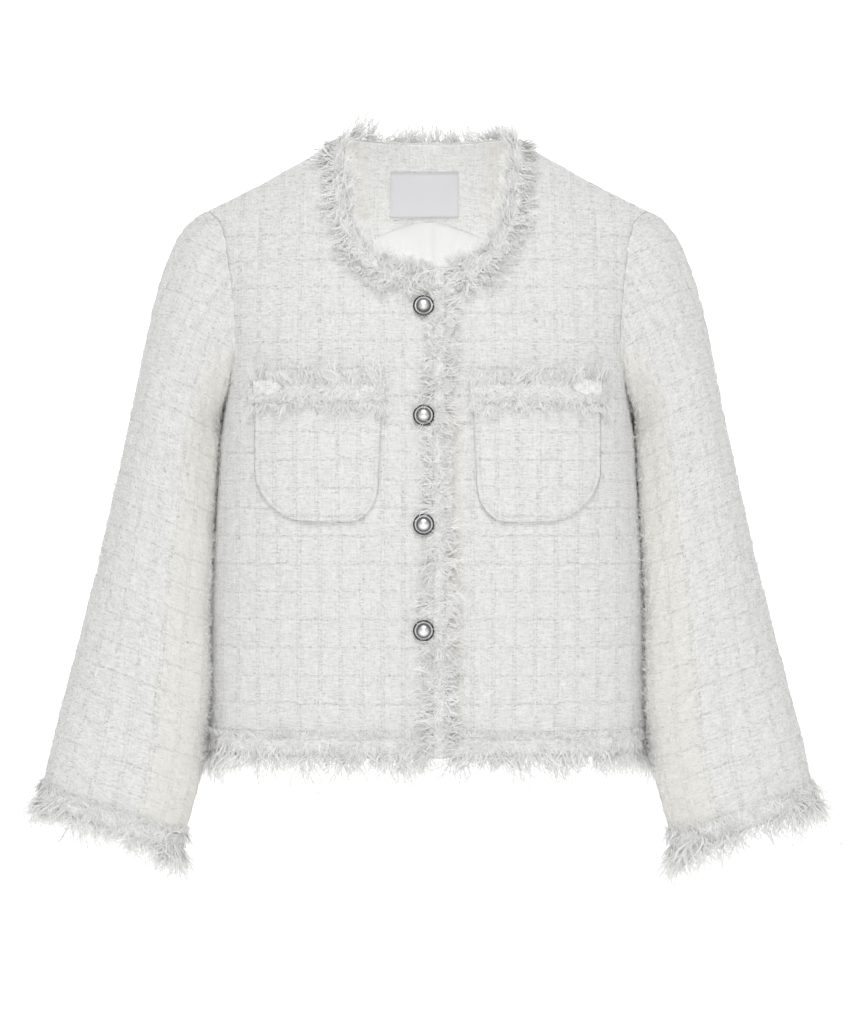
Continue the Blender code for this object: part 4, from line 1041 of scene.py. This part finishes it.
def build_neck_trim_front(name, side, start_x, sink=None):
    """Frayed trim along one front's half of the neckline."""
    way = np.linspace(neckline_way(start_x), NECK_TRIM_END, 150)
    rows = [place(side, *neck_point(way, across), -1, sink)
            for across in np.linspace(0.0, 1.0, 17) * NECK_TRIM]
    trim(name, rows, LAID_ON_CURVE, "neck_front", flip=side > 0, seed=60 + side)


def build_neck_trim_back():
    """Frayed trim along the back neckline; its fringe stands up."""
    way = np.linspace(-NECK_TRIM_END, NECK_TRIM_END, 170)
    rows = []
    for across in np.linspace(0.0, 1.0, 17) * NECK_TRIM:
        x, z = back_neck_point(np.abs(way), across)
        rows.append(place_both(np.copysign(x, way), z, 1))
    trim("neck_trim_back", rows, LAID_ON_CURVE, "neck_back", seed=66)


def build_placket_trim():
    """Frayed trim down the edge of the right front."""
    z = np.linspace(HEM - TRIM_BELOW, float(neck_point(0.0)[1]) + 0.0004, 380)
    rows = [place(-1, -x, z, -1) for x in np.linspace(0.0035, 0.0156, 13)]

    def beside_buttons(roots, ways, sizes):
        """Most strands stop short of a button."""
        gap = np.abs(roots[:, 2:3] - np.array([BUTTON_HEIGHTS])).min(1)
        near = (gap < 0.0105) & (ways[:, 0] < 0) & (random.uniform(0, 1, len(sizes)) < 0.9)
        return np.where(near, np.minimum(sizes, 0.0012 + 0.5 * (roots[:, 0] - BUTTON_X)), sizes)

    trim("placket_trim", rows, LAID_ON, "placket", seed=70, limit=beside_buttons)


def build_hem_trim(name, seed, side, face, first, last, columns, sink=None):
    """Frayed trim along a panel's hem, with a long fringe below it."""
    shares = np.linspace(first, last, columns)
    rows = []
    for z in np.linspace(HEM - TRIM_BELOW, HEM + HEM_TRIM, 17):
        x = torso(1, np.abs(shares), z, face)[:, 0]
        rows.append(place_both(np.copysign(x, shares) * side, z, face, sink))
    trim(name, rows, LAID_ON, "hem", flip=side * face > 0, seed=seed, drop=0.05,
         many=columns / HEM_COLUMNS)


def build_cuff_trim(name, side, seed):
    """Frayed trim round a cuff, with a fringe that splays."""
    turn = np.linspace(0, 2 * np.pi, 261)
    z = np.linspace(CUFF - TRIM_BELOW, CUFF + CUFF_TRIM, 16)
    points = sleeve_ring(side, z[:, None], turn[None], LAID_ON)
    normals = grid_directions(points[::-1], side)[::-1]
    normals[:, 0] = normals[:, -1] = unit(normals[:, 0] + normals[:, -1])
    trim(name, zip(points, normals), 0.0, "cuff", flip=side < 0, seed=seed)


# ---------------------------------------------------------------- pockets

def pocket_span(z):
    """How far from the centre a pocket starts and ends at a height."""
    inner = POCKET_INNER + POCKET_TAPER * (POCKET_TOP - z) / (POCKET_TOP - POCKET_FOOT)
    outer = np.full_like(z, POCKET_OUTER)
    for corner, wide, high in POCKET_CORNERS:
        below = np.clip((POCKET_FOOT + high - z) / high, 0.0, 1.0)
        cut = wide * (1.0 - np.sqrt(1.0 - below * below))
        if corner == "inner":
            inner = inner + cut
        else:
            outer = outer - cut
    return inner, outer


def build_pocket(name, side, seed):
    """A patch pocket with round lower corners and a turned edge."""
    fall = 1.0 - (1.0 - np.linspace(0, 1, 80)) ** 1.5
    z = mix(POCKET_TOP, POCKET_FOOT, fall)
    inner, outer = pocket_span(z)
    x = mix(inner[:, None], outer[:, None], np.linspace(0, 1, 76)[None])
    points, normals = place(side, x, z[:, None], -1)
    grain = (points[..., 0] + 0.004 * side, points[..., 2] - HEM + 0.020)
    edge = np.minimum(np.minimum(x - inner[:, None], outer[:, None] - x),
                      (z - POCKET_FOOT)[:, None])
    groove = np.exp(-((edge - GROOVE_IN) / GROOVE_WIDTH) ** 2)
    puff = 0.0005 * np.exp(-((edge - 0.0020) / 0.0014) ** 2)
    height = boucle(grain[0], grain[1], seed) + puff - GROOVE_DEPTH * groove
    depth = LAID_ON + TWEED * 0.8
    points = points + normals * (depth + height)[..., None]
    # darker along the stitched groove, partly the stitch line's own colour and partly painted shade
    # in the groove, and painted shade along the pocket's outline where it meets the front
    shade = 1.0 - 0.06 * groove - 0.05 * np.exp(-(edge / 0.0012) ** 2)
    cloth(name, points, normals, TWEED_LOOK, ALL_EDGES, depth=depth, grain=grain,
                        shade=shade, flip=side > 0)


def build_pocket_trim(name, side, seed):
    """Frayed trim across a pocket's top."""
    x = np.linspace(*POCKET_TRIM_SPAN, 114)
    rows = [place(side, x, z, -1) for z in np.linspace(*POCKET_TRIM_ROWS, 23)]
    trim(name, rows, LAID_ON + TWEED, "pocket", flip=side < 0, seed=seed, tall=0.6)


def build_pocket_tab(name, side, seed):
    """The trim's outer end, folded back to a point."""
    fold, bend, point = TAB_ENDS
    x = np.concatenate([np.linspace(fold, bend, 16, endpoint=False), np.linspace(bend, point, 12)])
    size = np.where(x > bend, 1.0, mix(0.1, 1.0, (x - point) / (bend - point)))
    z = TAB_HEIGHT + np.linspace(-1, 1, 21)[:, None] * size[None] * TAB_HALF_HEIGHT
    points, normals = place(side, x[None], z, -1)
    band(name, points, normals, 2 * LAID_ON + TWEED + TRIM, seed, flip=side > 0,
                       tall=0.5, edge_shade=0.16)


# ---------------------------------------------------------------- inside the back neck

def facing_foot(x):
    """Height of the facing's lower edge at a distance from the centre."""
    return FACING_FOOT - FACING_DROP * x * x / (x * x + FACING_BEND * FACING_BEND)


def build_facing():
    """The tweed facing behind the back neck, from armhole to armhole."""
    x = np.linspace(-FACING_HALF_WIDTH, FACING_HALF_WIDTH, 190)
    foot = facing_foot(x)
    inner = np.minimum(np.abs(x) / NECK_HALF, 1.0)
    top = np.where(np.abs(x) < NECK_HALF, mix(NECK_TOP, shoulder_height(NECK_HALF), inner ** 3),
                   shoulder_height(x)) - 0.0004
    z = mix(foot[None], top[None], np.linspace(0, 1, 62)[:, None])
    point, normal = place_both(x, z, 1)
    u, v = np.broadcast_to(x[None], z.shape), z - HEM
    depth = TWEED + INSIDE + FACING + 0.6 * boucle(u, v, 90)
    piece = cloth("facing_back", point - normal * depth[..., None], -normal, PAINTED_LIGHT_FACING_LOOK,
                  ("low", "high"), depth=FACING + INSIDE + 0.0012,
                  grain=(u + 0.003, v + 0.03), warm_and_painted_bounce=ease((np.abs(u) - 0.045) / 0.02))


def build_lining():
    """The smooth back lining below the facing, with a pleat down its centre."""
    x = np.linspace(-LINING_HALF_WIDTH, LINING_HALF_WIDTH, 161)
    foot = facing_foot(x) + 0.0004
    z = mix(LINING_FOOT, foot[None], np.linspace(0, 1, 70)[:, None])
    x, foot = np.broadcast_to(x, z.shape), np.broadcast_to(foot, z.shape)
    fit = 0.98 * follow(SECTIONS, 1, z) / FACING_HALF_WIDTH
    fit = np.where(z < UNDERARM, fit, mix(fit, 1.0, ease((z - UNDERARM) / 0.06)))
    point, normal = place_both(x * fit, z, 1)
    fold = 0.35 * PLEAT * np.exp(-(x / 0.0060) ** 2) - 0.0003 * np.exp(-((x - 0.010) / 0.004) ** 2)
    ripple = 0.0006 * value_noise(x, z, 0.028, 0.14, 95) * ease((foot - z) / 0.03)
    depth = TWEED + INSIDE + 0.0010 + fold + ripple
    # a thin darker line beside the pleat: painted shade of its fold
    shade = 1.0 - 0.05 * np.exp(-((x - 0.0052) / 0.0020) ** 2)
    piece = cloth("lining_back", point - normal * depth[..., None], -normal, LINING_LOOK, (),
                  grain=(point[..., 0], z), shade=shade)


def build_label():
    """The blank satin label, turned under and sewn at its top and bottom."""
    x, z = np.meshgrid(LABEL_MIDDLE + np.linspace(-1, 1, 64) * LABEL_HALF_WIDTH,
                       np.linspace(LABEL_FOOT, LABEL_TOP, 44))
    point, normal = place_both(x, z, 1)
    ends = np.minimum(z - LABEL_FOOT, LABEL_TOP - z)
    sides = np.minimum(x - x[0, 0], x[0, -1] - x)
    puff = 0.0006 * ease(ends / 0.004) * ease(sides / 0.003) - 0.0004 * np.exp(-sides / 0.001)
    waver = 0.0004 * value_noise(x, z, 0.018, 0.012, 31)
    depth = TWEED + INSIDE + FACING + LAID_ON + 0.0008 + puff + waver
    shade = 1.0 - 0.28 * np.exp(-((ends - 0.0010) / 0.0007) ** 2)
    piece = cloth("label", point - normal * depth[..., None], -normal, LABEL_LOOK,
                  ("low", "high"), depth=0.0006, grain=(x, z), shade=shade)


# ---------------------------------------------------------------- buttons

def lathe(name, profile, centre, out, finish, painted_reflection_foot=1.0):
    """A turned shape about a direction, from (radius, height) pairs, painted darker towards its
    foot by a given factor: a painted reflection.
    """
    across = unit(np.cross(out, np.array([0.0, 0.0, 1.0])))
    turn = np.linspace(0, 2 * np.pi, BUTTON_SIDES, endpoint=False)[:, None]
    spokes = np.cos(turn) * across + np.sin(turn) * np.cross(across, out)
    radius, height = np.array(profile).T[..., None, None]
    points = centre + height * out + radius * spokes
    far = radius.ravel() / radius.max()
    shade = np.repeat(mix(1.0, painted_reflection_foot, ease((far - 0.40) / 0.50)), BUTTON_SIDES)
    faces = [grid_faces(len(profile), BUTTON_SIDES, wrap=True)]
    return new_mesh(name, points, faces, {"shade": shade}, finish)


def build_button(name, height):
    """A domed button: a thin dark rim, a pale recess and a ball, bright at its crown, with a
    painted dark reflection towards its foot.
    """
    points, normals = place(-1, np.array([-BUTTON_X]), np.array([height]), -1)
    centre, out = points[0], normals[0]
    back, wire, crown = BUTTON_BACK, RIM_WIRE, DOME_HEIGHT + 0.0014
    rim = [(0.0022, 0.0006), (0.0022, back), (BUTTON_RADIUS * 0.86, back)]
    rim += [(BUTTON_RADIUS - wire + wire * math.cos(a), back + wire + wire * math.sin(a))
            for a in np.linspace(-0.5 * np.pi, 0.95 * np.pi, 14)]
    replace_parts(lathe(name + "_rim", rim, centre, out, RIM_METAL), name)
    inner = BUTTON_RADIUS - 2.0 * wire
    dish = [(inner + 0.0002, back + 0.0008), (inner - 0.0004, back + 0.0005),
            (DOME_RADIUS - 0.0006, back + 0.0005)]
    lathe(name + "_dish", dish, centre, out, DISH_METAL)
    ball = [(DOME_RADIUS - 0.0004, back + 0.0004)]
    ball += [(DOME_RADIUS * math.cos(a) + 1e-5, back + 0.0010 + crown * math.sin(a))
             for a in np.linspace(0.0, 0.5 * np.pi, 18)]
    # the ball's foot painted dark (0.20): a painted reflection of dark surroundings around its
    # bright crown
    lathe(name + "_ball", ball, centre, out, DOME_METAL, 0.20)


# ---------------------------------------------------------------- stage, light and camera

def build_stage():
    """A plain white floor that curves up into a bright backdrop."""
    curve = [(FLOOR_END + BACKDROP_AWAY + BACKDROP_CURVE * math.sin(a),
              FLOOR_Z + BACKDROP_CURVE * (1 - math.cos(a)))
             for a in np.linspace(0.0, 0.5 * np.pi, 12)]
    edge = (FLOOR_END, FLOOR_Z)
    for name, profile, glow in (("floor", [(-5.0, FLOOR_Z), edge], 0.26),
                                ("backdrop", [edge] + curve + [(3.8, 6.0)], 0.75)):
        n = Nodes(name + "_white")
        n.shader.inputs["Emission Color"].default_value = (1.0, 1.0, 1.0, 1.0)
        n.shader.inputs["Emission Strength"].default_value = glow
        n.finish((0.92, 0.92, 0.92, 1.0), 0.9)
        points = [(x, y, z) for y, z in profile for x in (-8.0, 8.0)]
        mesh = bpy.data.meshes.new(name)
        mesh.from_pydata(points, [], grid_faces(len(profile), 2).tolist())
        mesh.shade_smooth()
        mesh.materials.append(n.material)
        sheet = bpy.data.objects.new(name, mesh)
        bpy.context.scene.collection.objects.link(sheet)


def area_light(name, at, towards, size, power):
    """A soft square light."""
    data = bpy.data.lights.new(name, "AREA")
    data.size, data.energy = size, power
    lamp = bpy.data.objects.new(name, data)
    lamp.location = at
    lamp.rotation_euler = (Vector(towards) - Vector(at)).to_track_quat("-Z", "Y").to_euler()
    lamp.visible_camera = False
    bpy.context.scene.collection.objects.link(lamp)


def build_light():
    """Even studio light from the front and above, with a small fill inside the neck."""
    world = bpy.data.worlds.new("studio")
    world.use_nodes = True
    world.node_tree.nodes["Background"].inputs[0].default_value = (1.0, 1.0, 1.0, 1.0)
    world.node_tree.nodes["Background"].inputs[1].default_value = 0.36
    bpy.context.scene.world = world
    area_light("front", (0.0, -5.0, -0.2), (0, 0, CAMERA_Z), 1.0, 20.5)
    area_light("top", (0.0, -2.3, 2.4), (0, 0, -0.2), 1.6, 58.0)
    area_light("left_box", (-3.2, -1.6, -0.1), (0, 0, -0.25), 1.6, 3.6)
    area_light("right_box", (3.2, -1.6, -0.1), (0, 0, -0.25), 1.6, 3.6)
    area_light("neck_fill", (0.0, -0.025, -0.25), (0, 0.09, -0.04), 0.10, 0.16)
    bpy.context.scene.view_settings.view_transform = "Standard"


def build_camera():
    """The photograph's view: level, from the front."""
    data = bpy.data.cameras.new("camera")
    data.sensor_fit = "AUTO"
    data.sensor_width = SENSOR
    data.lens = SENSOR * CAMERA_AWAY / (PHOTO_HEIGHT / PIXELS)
    camera = bpy.data.objects.new("camera", data)
    camera.location = (CAMERA_X, -CAMERA_AWAY, CAMERA_Z)
    camera.rotation_euler = (math.radians(90), 0, 0)
    bpy.context.scene.collection.objects.link(camera)
    bpy.context.scene.camera = camera


# ---------------------------------------------------------------- the whole jacket

build_camera()
build_stage()
build_light()
build_front("front_right", -1, -LAP_OVER, None, 10)
build_front("front_left", 1, -LAP_UNDER, lap_sink, 20)
build_back()
build_sleeve("sleeve_right", -1, 30, "front_right")
build_sleeve("sleeve_left", 1, 50, "front_left")
build_facing()
build_lining()
build_label()
build_neck_trim_front("neck_trim_right", -1, 0.0)
build_neck_trim_front("neck_trim_left", 1, TRIM_START, lap_sink)
build_neck_trim_back()
build_placket_trim()
build_hem_trim("hem_trim_right", 81, -1, -1, float(share_of(-0.0025, HEM)), 0.999, 200)
build_hem_trim("hem_trim_left", 82, 1, -1, float(share_of(TRIM_START, HEM)), 0.999, 190, lap_sink)
build_hem_trim("hem_trim_back", 83, 1, 1, -0.999, 0.999, 390)
for word, side in (("right", -1), ("left", 1)):
    build_cuff_trim("cuff_trim_" + word, side, 85 + side)
    build_pocket("pocket_" + word, side, 100 + side)
    build_pocket_trim("pocket_trim_" + word, side, 110 + side)
    build_pocket_tab("pocket_tab_" + word, side, 120 + side)
for number, height in enumerate(BUTTON_HEIGHTS, 1):
    build_button("button_%d" % number, height)
